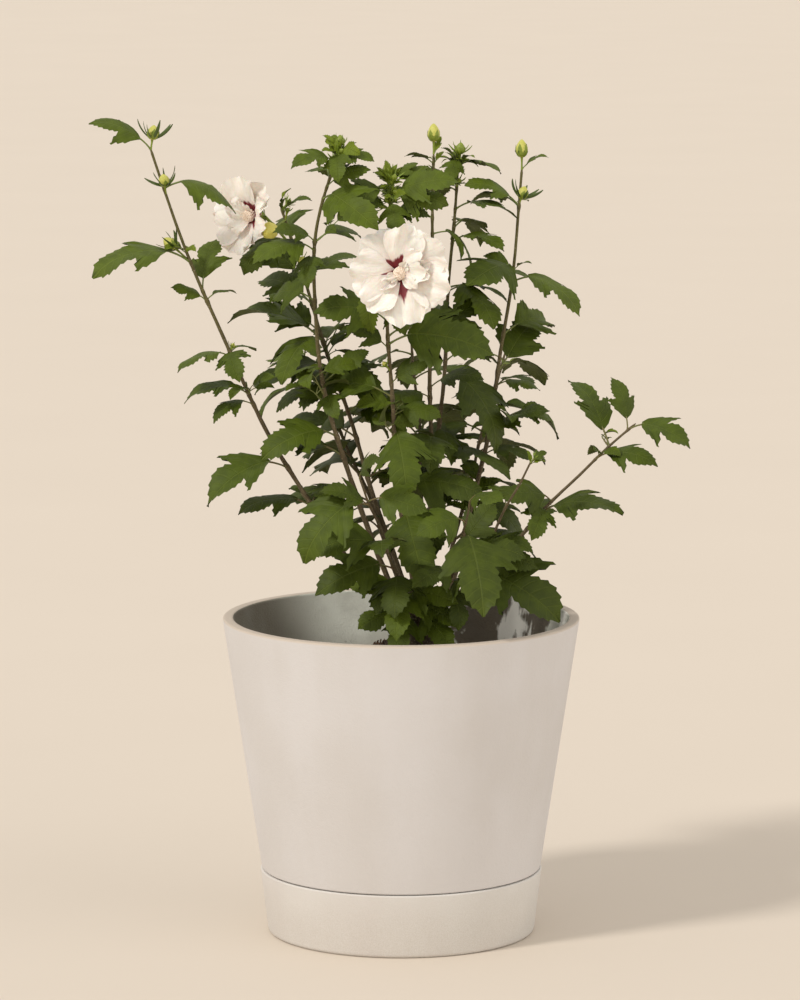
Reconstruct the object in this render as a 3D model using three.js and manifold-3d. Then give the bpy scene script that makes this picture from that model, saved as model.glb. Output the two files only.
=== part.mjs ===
// A young hibiscus shrub in a round pot with a matching saucer.
//
// Its stems rise from one root crown in the potting soil. The foot of each stem is a bough of
// its own, and the rest is a leafy shoot: the stem, its stalked three-lobed leaves, its buds
// and, on two of them, a double bloom, all fused into one solid.
//
// Frame: millimetres, +Z up. The origin is the centre of the saucer's flat underside.
// The shrub's fuller front faces -Y.

import * as THREE from "three";
import { mergeVertices } from "three/addons/utils/BufferGeometryUtils.js";
import Module from "manifold-3d";

const wasm = await Module();
wasm.setup();

const { degToRad, lerp, radToDeg, smoothstep } = THREE.MathUtils;

// ---------------------------------------------------------------- driving dimensions

const CLEARANCE = 0.3; // left between pieces that touch

const POT = {
  height: 268, // from the ground to the rim
  rimRadius: 150,
  waistRadius: 117.6, // where the wall steps in above the saucer
  wall: 9.3,
  floor: 9,
  edge: 1.6, // round on the rim
  sides: 48,
};

const SAUCER = {
  height: 54,
  topRadius: 118.8,
  footRadius: 112.4,
  wall: 3.8,
  floor: 8.7,
  edge: 3, // round at the foot
  seam: 1, // open line under the pot's shoulder
};

const SOIL = {
  level: 212, // at the pot's wall
  rise: 32, // to the mound round the stems
  rings: [0.18, 0.4, 0.7, 1],
  sides: 24,
};

const FOOT = new THREE.Vector3(20, 0, SOIL.level + SOIL.rise); // where the shrub stands

const CROWN = {
  height: 16,
  flareRadius: 19,
  topRadius: 16,
  sides: 14,
  outerRing: 11.4, // where the outer boughs start
  innerRing: 4.4,
};

const STEM = { footRadius: 2.7, tipRadius: 1.1, boughSides: 6, twigSides: 5, step: 60 };

const LEAF = {
  thickness: 0.9,
  droop: 50, // degrees that a blade bends down along its length
  petiole: 0.24, // of the blade's length
  petioleRadius: 0.8,
  lobedFrom: 38, // shorter leaves have no side lobes
};

// From foot to tip as the crow flies, in shares of the blade's length along its droop.
const CHORD = Math.sin(degToRad(LEAF.droop / 2)) / degToRad(LEAF.droop / 2);

// A blade's outline from its foot to its tip, in shares of its length: [along, half width].
const LOBED_LEAF = [
  [0.42, 0.36],
  [0.53, 0.22],
  [1, 0],
];
const PLAIN_LEAF = [
  [0.35, 0.27],
  [1, 0],
];

// The blades turn their upper sides to the open sky, and to the front where it is brightest.
const LIGHT = { up: 0.8, out: 0.4, front: 0.36 };

// ---------------------------------------------------------------- the planting plan

// Each shoot curves from its foot on the root crown, towards its bend, to its tip.
//   foot      ring of the crown and direction from its middle, in degrees
//   leafFrom  share of the stem where the bough ends and the leafy shoot starts
//   leaves    the leaves that shape the outline: share of the stem, then how far the tip lies
//             from the blade's foot in X, Y and Z, and how far the blade rolls about its midrib
//   fill      leaves that the seeded rule adds: how many, the direction they favour and how
//             far they spread from it, and the lengths at the bottom and top of the shoot
// Directions are degrees from +X towards +Y, so 180 is left, 270 is to the front.
const SHOOTS = [
  {
    name: "far_left",
    foot: ["outerRing", 185],
    bend: [-120, -20, 391],
    tip: [-206, -30, 662],
    leafFrom: 0.2,
    leaves: [
      [0.34, -48, -18, -12, 6],
      [0.345, 8, 12, 12, 0],
      [0.43, -50, -28, -34, -10],
      [0.56, -27, -14, -15, 2],
      [0.58, -44, -16, -8, 8],
      [0.65, -35, -22, -15, 8],
      [0.655, 1, -30, -22, 0],
      [0.66, 18, 16, -5, 0],
      [0.75, -24, -8, 7, 14],
      [0.755, 20, 8, 1, -14],
      [0.77, 2, 32, 28, 0],
      [0.82, -66, -18, -18, 12],
      [0.94, 49, -10, -22, -18],
      [1, -41, -14, 13, 12],
    ],
    buds: [
      [0.82, 186, 42, 12, 18],
      [0.93, 250, 70, 11],
      [1, 40, 80, 12],
    ],
  },
  {
    name: "left",
    foot: ["innerRing", 160],
    bend: [-42, 20, 425],
    tip: [-101, 50, 608],
    leafFrom: 0.3,
    leaves: [
      [0.53, 40, -30, -16, 0],
      [0.58, -26, -26, -16, -8],
      [0.61, -30, -14, -8, 4],
      [0.62, 24, -44, -28, 6],
      [0.63, -48, -20, -28, -6],
      [0.66, 18, 10, 18, 0],
      [0.695, -28, -36, -38, -6],
      [0.685, 20, -6, 2, -14],
      [0.71, -42, 16, 4, -12],
      [0.69, -68, -14, 12, 6],
      [0.775, -28, -30, 0, -14],
      [0.83, -44, 14, 20, 14],
      [0.92, -31, -22, -28, -14],
      [0.99, 20, -8, 6, -14],
    ],
    fill: { count: 7, faces: 110, spread: 100, lengths: [62, 46] },
    buds: [[0.97, 252, -8, 17, 32]],
    bloom: { share: 0.9, centre: [-122, 32, 602], faces: [226, 6], petal: 37, turn: 40 },
  },
  {
    name: "mid_left",
    foot: ["outerRing", 222],
    bend: [-116, -30, 522],
    tip: [-50, -50, 661],
    leafFrom: 0.24,
    leaves: [
      [0.345, -42, -36, -24, -18],
      [0.4, -28, 12, 8, 10],
      [0.42, 2, -24, -18, 0],
      [0.72, -6, -24, -24, 0],
      [0.76, 34, 20, -4, 0],
      [0.76, -26, -18, 2, -6],
      [0.87, 22, -42, -32, 0],
      [0.9, 26, -20, 6, 6],
      [0.97, -26, -24, -8, -10],
      [0.985, 22, -10, -8, -8],
      [0.99, -1, -16, -22, 0],
    ],
    fill: { count: 5, faces: 160, spread: 100, lengths: [62, 42] },
    buds: [[1, 90, 70, 9]],
  },
  {
    name: "bloom",
    foot: ["innerRing", 250],
    bend: [-20, -34, 438],
    tip: [-8, -45, 637],
    leafFrom: 0.22,
    leaves: [
      [0.28, -13, -42, -46, 0],
      [0.46, 6, -36, -50, 0],
      [0.5, 30, -14, -8, 0],
      [0.57, 25, -16, 4, 14],
      [0.655, 62, -36, -22, 4],
      [0.645, -27, -6, 8, 12],
      [0.705, -46, -26, -4, -10],
      [0.74, 8, -18, -24, 0],
      [0.93, 24, -14, -6, 8],
      [0.94, -26, -14, 2, 8],
      [0.95, 2, -18, -24, 0],
      [0.96, 32, -20, -16, 10],
      [0.97, -34, -18, -12, -8],
      [0.99, 30, 10, 2, 6],
      [1, 20, 8, 8, -10],
    ],
    fill: { count: 6, faces: 90, spread: 110, lengths: [62, 48] },
    buds: [[1, 180, 70, 9]],
    bloom: { share: 0.78, centre: [0, -76, 564], faces: [262, 8], petal: 43, turn: 12 },
  },
  {
    name: "centre",
    foot: ["innerRing", 340],
    bend: [24, 0, 451],
    tip: [27, 15, 655],
    leafFrom: 0.18,
    leaves: [
      [0.26, -16, -34, -26, 0],
      [0.3, 28, -24, -14, 10],
      [0.41, 18, -32, -30, 0],
      [0.5, -26, -22, -14, 0],
      [0.52, 34, -22, 2, 10],
      [0.87, -30, -16, -10, -8],
      [0.93, -36, -14, 4, -6],
      [0.98, -20, -8, 2, 8],
    ],
    fill: { count: 7, faces: 80, spread: 120, lengths: [64, 50] },
    buds: [[1, 90, 84, 15]],
  },
  {
    name: "mid_right",
    foot: ["innerRing", 70],
    bend: [33, 30, 447],
    tip: [48, 50, 646],
    leafFrom: 0.3,
    leaves: [
      [0.38, 54, -24, -14, 10],
      [0.43, 8, -26, -26, 0],
      [0.54, 48, -22, -52, 10],
      [0.735, 28, -30, -36, 6],
      [0.83, 34, -26, -8, 12],
      [0.87, 22, 8, -8, -14],
      [0.9, 42, -22, -14, 6],
      [0.95, -30, -12, 4, -4],
      [0.99, 30, -8, -8, -12],
      [1, -4, -16, -18, 0],
    ],
    fill: { count: 7, faces: 60, spread: 110, lengths: [62, 48] },
    buds: [[1, 300, 75, 10]],
  },
  {
    name: "right",
    foot: ["outerRing", 25],
    bend: [87, 30, 433],
    tip: [101, 40, 640],
    leafFrom: 0.3,
    leaves: [
      [0.4, 26, -22, -12, 12],
      [0.44, 42, -16, 12, 10],
      [0.55, 28, -12, -8, 8],
      [0.58, 38, 22, 28, 0],
      [0.79, -18, -54, -16, 0],
      [0.77, 46, -18, -29, 2],
      [0.925, -36, -16, 13, -4],
      [1, 18, -4, 7, -10],
    ],
    fill: { count: 5, faces: 100, spread: 70, lengths: [56, 36] },
    buds: [
      [1, 90, 84, 15],
      [0.93, 350, 72, 11, 5],
    ],
  },
  {
    name: "far_right",
    foot: ["outerRing", 352],
    bend: [117, -20, 368],
    tip: [193, -50, 437],
    leafFrom: 0.34,
    leaves: [
      [0.44, 24, 26, 12, 0],
      [0.5, 58, -26, 4, 10],
      [0.53, -4, -24, -24, 0],
      [0.57, -30, -30, -4, -12],
      [0.79, 38, -24, -10, 8],
      [0.865, -28, 22, 42, 0],
      [0.96, -4, 14, 34, 0],
      [0.97, 36, -20, -21, 8],
    ],
  },
  {
    name: "low_right",
    foot: ["outerRing", 322],
    bend: [74, -40, 339],
    tip: [106, -80, 409],
    leafFrom: 0.27,
    leaves: [
      [0.31, 50, -38, -42, 10],
      [0.37, 40, -22, -4, 4],
      [0.5, 26, -20, -12, 6],
      [0.72, 10, 26, 14, 0],
      [1, 12, -2, 4, 0],
    ],
  },
  {
    name: "front",
    foot: ["outerRing", 255],
    bend: [-10, -60, 330],
    tip: [-34, -96, 398],
    leafFrom: 0.3,
    leaves: [
      [0.33, -16, -26, -22, 0],
      [0.36, 6, -40, -22, 0],
      [0.42, -43, -28, -32, -6],
      [0.54, -46, -26, -8, -8],
      [0.8, -32, -22, 6, 6],
      [0.83, -37, -22, -50, 0],
      [1, 6, -24, 10, 0],
    ],
    fill: { count: 2, faces: 260, spread: 90, lengths: [50, 46] },
  },
  {
    name: "front_right",
    foot: ["outerRing", 290],
    bend: [48, -56, 318],
    tip: [56, -100, 380],
    leafFrom: 0.3,
    leaves: [
      [0.34, 8, -20, -30, 0],
      [0.46, -20, -34, -14, 4],
      [0.6, 42, -22, -10, 8],
      [0.66, 30, -12, 20, 0],
      [0.74, 10, -38, -62, 0],
      [1, 16, -30, -4, 0],
    ],
    fill: { count: 3, faces: 320, spread: 90, lengths: [48, 46] },
  },
  {
    name: "basal",
    foot: ["outerRing", 275],
    bend: [14, -26, 268],
    tip: [2, -42, 292],
    leafFrom: 0.4,
    leaves: [
      [0.48, -14, -26, -28, 0],
      [0.5, 18, -28, -26, 0],
      [0.6, -32, -16, -20, 0],
      [0.72, 34, -18, -14, 0],
      [0.98, -6, -36, -32, 0],
      [1, 36, -20, -8, 8],
      [1, -36, -12, -4, -8],
    ],
  },
  {
    name: "back_left",
    foot: ["outerRing", 135],
    bend: [-34, 60, 396],
    tip: [-88, 118, 480],
    leafFrom: 0.24,
    fill: { count: 14, faces: 120, spread: 130, lengths: [66, 48] },
  },
  {
    name: "back_centre",
    foot: ["outerRing", 95],
    bend: [20, 70, 400],
    tip: [6, 130, 510],
    leafFrom: 0.24,
    fill: { count: 14, faces: 90, spread: 130, lengths: [66, 48] },
  },
  {
    name: "back_right",
    foot: ["outerRing", 60],
    bend: [60, 56, 386],
    tip: [90, 116, 480],
    leafFrom: 0.24,
    fill: { count: 13, faces: 60, spread: 130, lengths: [66, 48] },
  },
];

// ---------------------------------------------------------------- solids from vertices

// A solid from points and counter-clockwise triangles of their indices.
function solidFrom(points, triangles) {
  return new wasm.Manifold(
    new wasm.Mesh({
      numProp: 3,
      vertProperties: new Float32Array(points.flatMap((p) => p.toArray())),
      triVerts: new Uint32Array(triangles.flat()),
    }),
  );
}

// A solid from a closed three.js geometry.
function solidOf(geometry) {
  const bare = geometry.clone();
  bare.deleteAttribute("normal");
  bare.deleteAttribute("uv");
  const merged = mergeVertices(bare, 1e-4);
  return new wasm.Manifold(
    new wasm.Mesh({
      numProp: 3,
      vertProperties: merged.attributes.position.array,
      triVerts: new Uint32Array(merged.index.array),
    }),
  );
}

function geometryOf(solid) {
  const mesh = solid.getMesh();
  const geometry = new THREE.BufferGeometry();
  geometry.setAttribute("position", new THREE.BufferAttribute(mesh.vertProperties, 3));
  geometry.setIndex(new THREE.BufferAttribute(mesh.triVerts, 1));
  geometry.computeVertexNormals();
  return geometry;
}

// A closed solid of revolution about Z, from a profile of [radius, height] that runs up its outside.
function turned(profile, sides) {
  const points = profile.map(([radius, height]) => new THREE.Vector2(radius, height));
  return new THREE.LatheGeometry(points, sides).rotateX(Math.PI / 2);
}

// ---------------------------------------------------------------- pot, saucer and soil

const potBase = SAUCER.floor + CLEARANCE; // the pot stands on the saucer's floor
const shoulder = SAUCER.height + SAUCER.seam;
const potFloor = potBase + POT.floor;

// The inner face is a plain cone, parallel to the outer one.
const wallSlope = (POT.rimRadius - POT.waistRadius) / (POT.height - shoulder);
const innerRadius = (height) =>
  POT.rimRadius - POT.wall - wallSlope * (POT.height - height);

// The saucer's inner face follows its outer one.
const saucerInnerRadius = (height) =>
  lerp(SAUCER.footRadius, SAUCER.topRadius, height / SAUCER.height) - SAUCER.wall;

function potGeometry() {
  const rimTop = POT.height;
  return turned(
    [
      [0, potBase],
      [saucerInnerRadius(potBase) - 1, potBase],
      [saucerInnerRadius(shoulder) - 1, shoulder],
      [POT.waistRadius, shoulder],
      [POT.rimRadius, rimTop - POT.edge],
      [POT.rimRadius - POT.edge, rimTop],
      [innerRadius(rimTop), rimTop],
      [innerRadius(potFloor), potFloor],
      [0, potFloor],
    ],
    POT.sides,
  );
}

function saucerGeometry() {
  const { height, topRadius, footRadius, floor, edge } = SAUCER;
  return turned(
    [
      [0, 0],
      [footRadius - edge, 0],
      [footRadius, edge],
      [topRadius, height - 0.8],
      [topRadius - 0.8, height],
      [saucerInnerRadius(height), height],
      [saucerInnerRadius(floor), floor],
      [0, floor],
    ],
    POT.sides,
  );
}

// Soil fills the pot to its level and mounds up round the foot of the shrub.
function soilSolid() {
  const { sides, rings, level, rise } = SOIL;
  const wallPoint = (side, height) => {
    const angle = (2 * Math.PI * side) / sides;
    // A flat side lies inside its circle, so the soil keeps clear of the pot's facets.
    const radius = (innerRadius(height) - CLEARANCE) * Math.cos(Math.PI / POT.sides) - CLEARANCE;
    return new THREE.Vector3(radius * Math.cos(angle), radius * Math.sin(angle), height);
  };
  const points = [FOOT.clone()];
  for (const share of rings)
    for (let side = 0; side < sides; side++) {
      const height = lerp(level + rise, level, smoothstep(share, rings[0], 0.8));
      const point = FOOT.clone().lerp(wallPoint(side, level), share);
      points.push(point.setZ(height));
    }
  const bottom = points.length;
  for (let side = 0; side < sides; side++) points.push(wallPoint(side, potFloor + CLEARANCE));
  points.push(new THREE.Vector3(0, 0, potFloor + CLEARANCE));

  const triangles = [];
  for (let side = 0; side < sides; side++) {
    const next = (side + 1) % sides;
    triangles.push([0, 1 + side, 1 + next]);
    for (let ring = 0; ring < rings.length; ring++) {
      const here = 1 + ring * sides;
      const below = ring + 1 < rings.length ? here + sides : bottom;
      triangles.push([here + side, below + side, below + next]);
      triangles.push([here + side, below + next, here + next]);
    }
    triangles.push([bottom + side, bottom + sides, bottom + next]);
  }
  return solidFrom(points, triangles);
}

// ---------------------------------------------------------------- limbs

// The root crown, with its flare on a flat cut at the soil. grow makes it that much larger.
function crownSolid(grow = 0) {
  const { height, flareRadius, topRadius, sides } = CROWN;
  const profile = [
    [0, CLEARANCE - grow],
    [flareRadius + grow, CLEARANCE - grow],
    [lerp(topRadius, flareRadius, 0.3) + grow, height * 0.3],
    [topRadius - 1 + grow, height * 0.6],
    [topRadius + grow, height * 0.85],
    [topRadius * 0.8 + grow / 2, height + grow],
    [0, height + grow + 1],
  ];
  return solidOf(turned(profile, sides).translate(FOOT.x, FOOT.y, FOOT.z));
}

// A tapering limb with flat ends: rings of a given radius round the points of a path.
function limb(path, radii, sides) {
  const points = [];
  const triangles = [];
  const reference = new THREE.Vector3(0.31, 0.17, 0.11);
  path.forEach((centre, i) => {
    const before = path[Math.max(i - 1, 0)];
    const after = path[Math.min(i + 1, path.length - 1)];
    const along = after.clone().sub(before).normalize();
    const across = reference.clone().cross(along).normalize();
    const other = along.clone().cross(across);
    for (let side = 0; side < sides; side++) {
      const angle = (2 * Math.PI * side) / sides;
      points.push(
        centre
          .clone()
          .addScaledVector(across, radii[i] * Math.cos(angle))
          .addScaledVector(other, radii[i] * Math.sin(angle)),
      );
    }
  });
  const last = (path.length - 1) * sides;
  for (let side = 0; side < sides; side++) {
    const next = (side + 1) % sides;
    for (let ring = 0; ring < last; ring += sides) {
      triangles.push([ring + side, ring + next, ring + sides + next]);
      triangles.push([ring + side, ring + sides + next, ring + sides + side]);
    }
    if (side > 0 && next > 0) {
      triangles.push([0, next, side]);
      triangles.push([last, last + side, last + next]);
    }
  }
  return solidFrom(points, triangles);
}

const footOf = ({ foot: [ring, azimuth] }) =>
  new THREE.Vector3(
    FOOT.x + CROWN[ring] * Math.cos(degToRad(azimuth)),
    FOOT.y + CROWN[ring] * Math.sin(degToRad(azimuth)),
    FOOT.z + CROWN.height * 0.5,
  );

const stemCurve = (shoot) =>
  new THREE.QuadraticBezierCurve3(
    footOf(shoot),
    new THREE.Vector3(...shoot.bend),
    new THREE.Vector3(...shoot.tip),
  );

const stemRadius = (curve, share) => {
  const vigour = lerp(0.82, 1.12, smoothstep(curve.getLength(), 150, 420));
  return vigour * lerp(STEM.footRadius, STEM.tipRadius, share ** 0.8);
};

function stemPiece(curve, from, to, sides) {
  const steps = Math.max(2, Math.round(((to - from) * curve.getLength()) / STEM.step));
  const path = [];
  const radii = [];
  for (let step = 0; step <= steps; step++) {
    const share = lerp(from, to, step / steps);
    path.push(curve.getPoint(share));
    radii.push(stemRadius(curve, share));
  }
  return limb(path, radii, sides);
}

// ---------------------------------------------------------------- leaves

// The direction at an angle round Z from +X, and at a pitch above level.
function heading(azimuth, pitch) {
  const a = degToRad(azimuth);
  const p = degToRad(pitch);
  return new THREE.Vector3(Math.cos(p) * Math.cos(a), Math.cos(p) * Math.sin(a), Math.sin(p));
}

// A blade's frame: the way it points, the way to its left, and its upper side, which is
// turned to the light and then rolled by some degrees.
function bladeFrame(foot, azimuth, pitch, roll) {
  const along = heading(azimuth, pitch);
  const light = new THREE.Vector3(foot.x - FOOT.x, foot.y - FOOT.y, 0)
    .setLength(LIGHT.out)
    .add(new THREE.Vector3(0, -LIGHT.front, LIGHT.up));
  const left = light.cross(along).normalize().applyAxisAngle(along, degToRad(roll));
  return { along, left, up: along.clone().cross(left) };
}

// A solid strip through sections, each a centre with a half width to its left and right and
// a thickness. The last section may have no width.
function strip(sections) {
  const points = [];
  const corners = sections.map(({ centre, left, up, width, thickness }) => {
    const corner = (side, face) =>
      points.push(
        centre
          .clone()
          .addScaledVector(left, side * width)
          .addScaledVector(up, (face * thickness) / 2),
      ) - 1;
    if (!width) {
      const [top, bottom] = [corner(0, 1), corner(0, -1)];
      return [top, bottom, bottom, top];
    }
    return [corner(1, 1), corner(1, -1), corner(-1, -1), corner(-1, 1)];
  });
  const [first, last] = [corners[0], corners.at(-1)];
  const triangles = [
    [first[0], first[1], first[2]],
    [first[0], first[2], first[3]],
    [last[0], last[2], last[1]],
    [last[0], last[3], last[2]],
  ];
  for (let i = 0; i + 1 < corners.length; i++)
    for (let k = 0; k < 4; k++) {
      const next = (k + 1) % 4;
      const [a, b] = [corners[i][k], corners[i][next]];
      const [c, d] = [corners[i + 1][next], corners[i + 1][k]];
      triangles.push([a, c, b], [a, d, c]);
    }
  return solidFrom(
    points,
    triangles.filter(([a, b, c]) => a !== b && b !== c && c !== a),
  );
}

// A drooping leaf on its stalk. Its pitch is that of the line from the blade's foot to its tip.
// The stalk can be left off, and the whole can be made thicker.
function leafSolid(curve, { share, azimuth, pitch, length, roll }, { stalk = true, extra = 0 } = {}) {
  const start = curve.getPoint(share);
  const bladePitch = pitch + LEAF.droop / 2;
  const reach = LEAF.petiole * length + stemRadius(curve, share);
  const foot = start.clone().addScaledVector(heading(azimuth, (bladePitch + 50) / 2), reach);
  const { along, left, up } = bladeFrame(foot, azimuth, bladePitch, roll);
  const stalkSize = {
    width: LEAF.petioleRadius + extra / 2,
    thickness: 2 * LEAF.petioleRadius + extra,
  };
  const bend = degToRad(LEAF.droop);
  const rows = (length < LEAF.lobedFrom ? PLAIN_LEAF : LOBED_LEAF).map(([at, width]) => {
    const turn = bend * at;
    return {
      centre: foot
        .clone()
        .addScaledVector(along, (Math.sin(turn) / bend) * length)
        .addScaledVector(up, ((Math.cos(turn) - 1) / bend) * length),
      left,
      up: up.clone().multiplyScalar(Math.cos(turn)).addScaledVector(along, Math.sin(turn)),
      width: width * length,
      thickness: LEAF.thickness + extra,
    };
  });
  rows.unshift({ centre: foot, left, up, ...stalkSize });
  if (stalk) rows.unshift({ centre: start, left, up, ...stalkSize });
  return strip(rows);
}

// ---------------------------------------------------------------- the seeded rule

// A number from 0 to 1 that depends only on the shoot, the leaf and what it is for.
function chance(shoot, leaf, purpose) {
  const x = Math.sin(shoot * 127.1 + leaf * 311.7 + purpose * 74.7) * 43758.5453;
  return x - Math.floor(x);
}

const GOLDEN_ANGLE = 137.5;

// The leaves of a shoot: those of its plan, then those that the rule spreads up the stem.
function leavesOf(shoot, number) {
  const planned = (shoot.leaves ?? []).map(([share, x, y, z, roll]) => ({
    share,
    azimuth: radToDeg(Math.atan2(y, x)),
    pitch: radToDeg(Math.atan2(z, Math.hypot(x, y))),
    length: Math.hypot(x, y, z) / CHORD,
    roll,
  }));
  if (!shoot.fill) return planned;
  const { count, faces, spread, lengths } = shoot.fill;
  const grown = [];
  for (let i = 0; i < count; i++) {
    const height = (i + 0.2 + 0.6 * chance(number, i, 1)) / count;
    const round = ((i * GOLDEN_ANGLE + 360 * chance(number, 0, 2)) % 360) / 180 - 1;
    grown.push({
      share: lerp(shoot.leafFrom + 0.03, 0.99, height),
      azimuth: faces + round * spread,
      pitch: lerp(-36, 12, chance(number, i, 3)),
      length: lerp(lengths[0], lengths[1], height) * lerp(0.78, 1.1, chance(number, i, 4)),
      roll: lerp(-22, 22, chance(number, i, 6)),
    });
  }
  return [...planned, ...grown];
}

// ---------------------------------------------------------------- buds and blooms

const BUD = {
  outline: [
    [0, 0.4],
    [0.35, 1],
    [0.75, 0.7],
    [1, 0.15],
  ],
  girth: 0.4, // radius by length
  stalk: 0.7,
  bracts: 5,
  bractLength: 1.4,
  bractSpread: 40,
};

// A three-sided spike.
function spike(foot, tip, radius) {
  const along = tip.clone().sub(foot).normalize();
  const across = new THREE.Vector3(0.3, 0.5, 0.8).cross(along).setLength(radius);
  const ring = [0, 1, 2].map((k) =>
    foot.clone().add(across.clone().applyAxisAngle(along, (k * 2 * Math.PI) / 3)),
  );
  return solidFrom(
    [...ring, tip],
    [
      [0, 2, 1],
      [0, 1, 3],
      [1, 2, 3],
      [2, 0, 3],
    ],
  );
}

// Two directions square to an axis.
function squareTo(axis) {
  const left = new THREE.Vector3(0, 0, 1).cross(axis);
  if (left.lengthSq() < 1e-4) left.set(1, 0, 0);
  left.normalize();
  return [left, axis.clone().cross(left)];
}

const around = ([left, up], angle) =>
  left.clone().multiplyScalar(Math.cos(angle)).addScaledVector(up, Math.sin(angle));

// A plump bud on a short stalk, in a ring of narrow bracts.
function budSolids(curve, [share, azimuth, pitch, length, stalk = BUD.stalk * length]) {
  const start = curve.getPoint(share);
  const axis = heading(azimuth, pitch);
  const foot = start.clone().addScaledVector(axis, stalk);
  const path = BUD.outline.map(([u]) => foot.clone().addScaledVector(axis, u * length));
  const radii = BUD.outline.map(([, r]) => r * BUD.girth * length);
  const solids = [limb([start, path[1]], [1.1, 1.1], 3), limb(path, radii, 5)];
  const spread = degToRad(BUD.bractSpread);
  for (let i = 0; i < BUD.bracts; i++) {
    const out = around(squareTo(axis), (2 * Math.PI * i) / BUD.bracts);
    const root = path[0].clone().lerp(path[1], 0.5).addScaledVector(out, radii[0]);
    const way = out.multiplyScalar(Math.sin(spread)).addScaledVector(axis, Math.cos(spread));
    solids.push(spike(root, root.clone().addScaledVector(way, BUD.bractLength * length), 0.9));
  }
  return solids;
}

// The whorls of a double bloom, from the back: petals, how far they open from the bloom's
// axis, their length as a share of the longest, and where they start on the column.
const WHORLS = [
  { petals: 7, steps: 3, open: 76, length: 1, lift: 0 },
  { petals: 6, steps: 2, open: 50, length: 0.64, lift: 4 },
];
const PETAL = { thickness: 1.1, notch: 0.14, ruffle: 0.07 };

// A whorl of petals that overlap into one ruffled cup.
function whorlSolid(middle, axis, whorl, size, turn) {
  const { petals, open, length, lift } = whorl;
  const steps = petals * whorl.steps;
  const frame = squareTo(axis);
  const opening = degToRad(open);
  const points = [];
  for (const face of [1, -1]) {
    const thick = (face * PETAL.thickness) / 2;
    points.push(middle.clone().addScaledVector(axis, lift + thick / Math.sin(opening)));
    for (const share of [0.5, 1])
      for (let step = 0; step < steps; step++) {
        const inPetal = (step % whorl.steps) / whorl.steps;
        const reach = size * length * share * (inPetal ? 1 : 1 - PETAL.notch * share);
        const wave = size * PETAL.ruffle * share * (inPetal > 0.5 ? 1 : -1);
        const rise = reach * Math.cos(opening) + wave + thick * Math.sin(opening);
        const out = around(frame, turn + (2 * Math.PI * step) / steps);
        points.push(
          middle
            .clone()
            .addScaledVector(axis, lift + rise)
            .addScaledVector(out, reach * Math.sin(opening) - thick * Math.cos(opening)),
        );
      }
  }
  const under = points.length / 2;
  const triangles = [];
  for (let step = 0; step < steps; step++) {
    const [a, b] = [1 + step, 1 + ((step + 1) % steps)];
    const [c, d] = [a + steps, b + steps];
    triangles.push([0, a, b], [a, c, d], [a, d, b]);
    triangles.push([under, under + b, under + a]);
    triangles.push([under + a, under + d, under + c], [under + a, under + b, under + d]);
    triangles.push([c, under + c, under + d], [c, under + d, d]);
  }
  return solidFrom(points, triangles);
}

function bloomSolids(curve, { share, centre, faces, petal, turn }) {
  const middle = new THREE.Vector3(...centre);
  const axis = heading(...faces);
  const back = middle.clone().addScaledVector(axis, -11);
  const front = middle.clone().addScaledVector(axis, petal * 0.36);
  return [
    limb([curve.getPoint(share), back], [1.3, 1.8], 5), // stalk
    limb([back.clone().addScaledVector(axis, -2), middle, front], [3, 5, 2.4], 6), // calyx, column
    ...WHORLS.map((whorl, i) => whorlSolid(middle, axis, whorl, petal, degToRad(turn + i * 31))),
  ];
}

// ---------------------------------------------------------------- growing the shrub

const stems = SHOOTS.map(stemCurve);
const crownSpace = crownSolid(CLEARANCE);

const boughs = SHOOTS.map((shoot, i) =>
  stemPiece(stems[i], 0, shoot.leafFrom, STEM.boughSides).subtract(crownSpace),
);

// Each shoot starts a little above its bough's cut end.
const shootParts = SHOOTS.map((shoot, i) => {
  const from = shoot.leafFrom + CLEARANCE / stems[i].getLength();
  return [stemPiece(stems[i], from, 1, STEM.twigSides)];
});

const potSolid = solidOf(potGeometry());
const saucerSolid = solidOf(saucerGeometry());
const soil = soilSolid();
const crown = crownSolid();

const touches = (solid, others) =>
  others.some((other) => {
    const [a, b] = [solid.boundingBox(), other.boundingBox()];
    const apart = [0, 1, 2].some((k) => a.max[k] < b.min[k] || b.max[k] < a.min[k]);
    return !apart && solid.intersect(other).volume() > 0;
  });

// Whether a space is clear of every other shoot, the boughs and the pot.
const limbsAndPot = [...boughs, potSolid, soil, crown];
const isFree = (number, space) =>
  !touches(space, [...shootParts.flatMap((parts, i) => (i === number ? [] : parts)), ...limbsAndPot]);

SHOOTS.forEach((shoot, i) => {
  if (shoot.bloom) shootParts[i].push(...bloomSolids(stems[i], shoot.bloom));
  (shoot.buds ?? []).forEach((bud) => {
    const solids = budSolids(stems[i], bud);
    if (solids.every((solid) => isFree(i, solid))) shootParts[i].push(...solids);
  });
});

// A leaf turns aside, by some degrees of direction and pitch, where its place is taken, and
// is left out where each of these turns is taken too.
const TURNS = [
  [0, 0],
  [14, 8],
  [-14, -8],
  [28, -12],
  [-28, 12],
  [44, 4],
  [-44, -4],
];

function growLeaf(number, leaf) {
  for (const [azimuth, pitch] of TURNS) {
    const turned = { ...leaf, azimuth: leaf.azimuth + azimuth, pitch: leaf.pitch + pitch };
    const blade = leafSolid(stems[number], turned, { stalk: false, extra: 2 * CLEARANCE });
    if (touches(blade, shootParts[number])) continue;
    if (!isFree(number, leafSolid(stems[number], turned, { extra: 2 * CLEARANCE }))) continue;
    shootParts[number].push(leafSolid(stems[number], turned));
    return;
  }
}

// Leaves grow in turn, one on each shoot, so that no shoot takes all the room.
const wanted = SHOOTS.map(leavesOf);
const most = Math.max(...wanted.map((leaves) => leaves.length));
for (let turn = 0; turn < most; turn++)
  wanted.forEach((leaves, i) => {
    if (leaves[turn]) growLeaf(i, leaves[turn]);
  });

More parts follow.
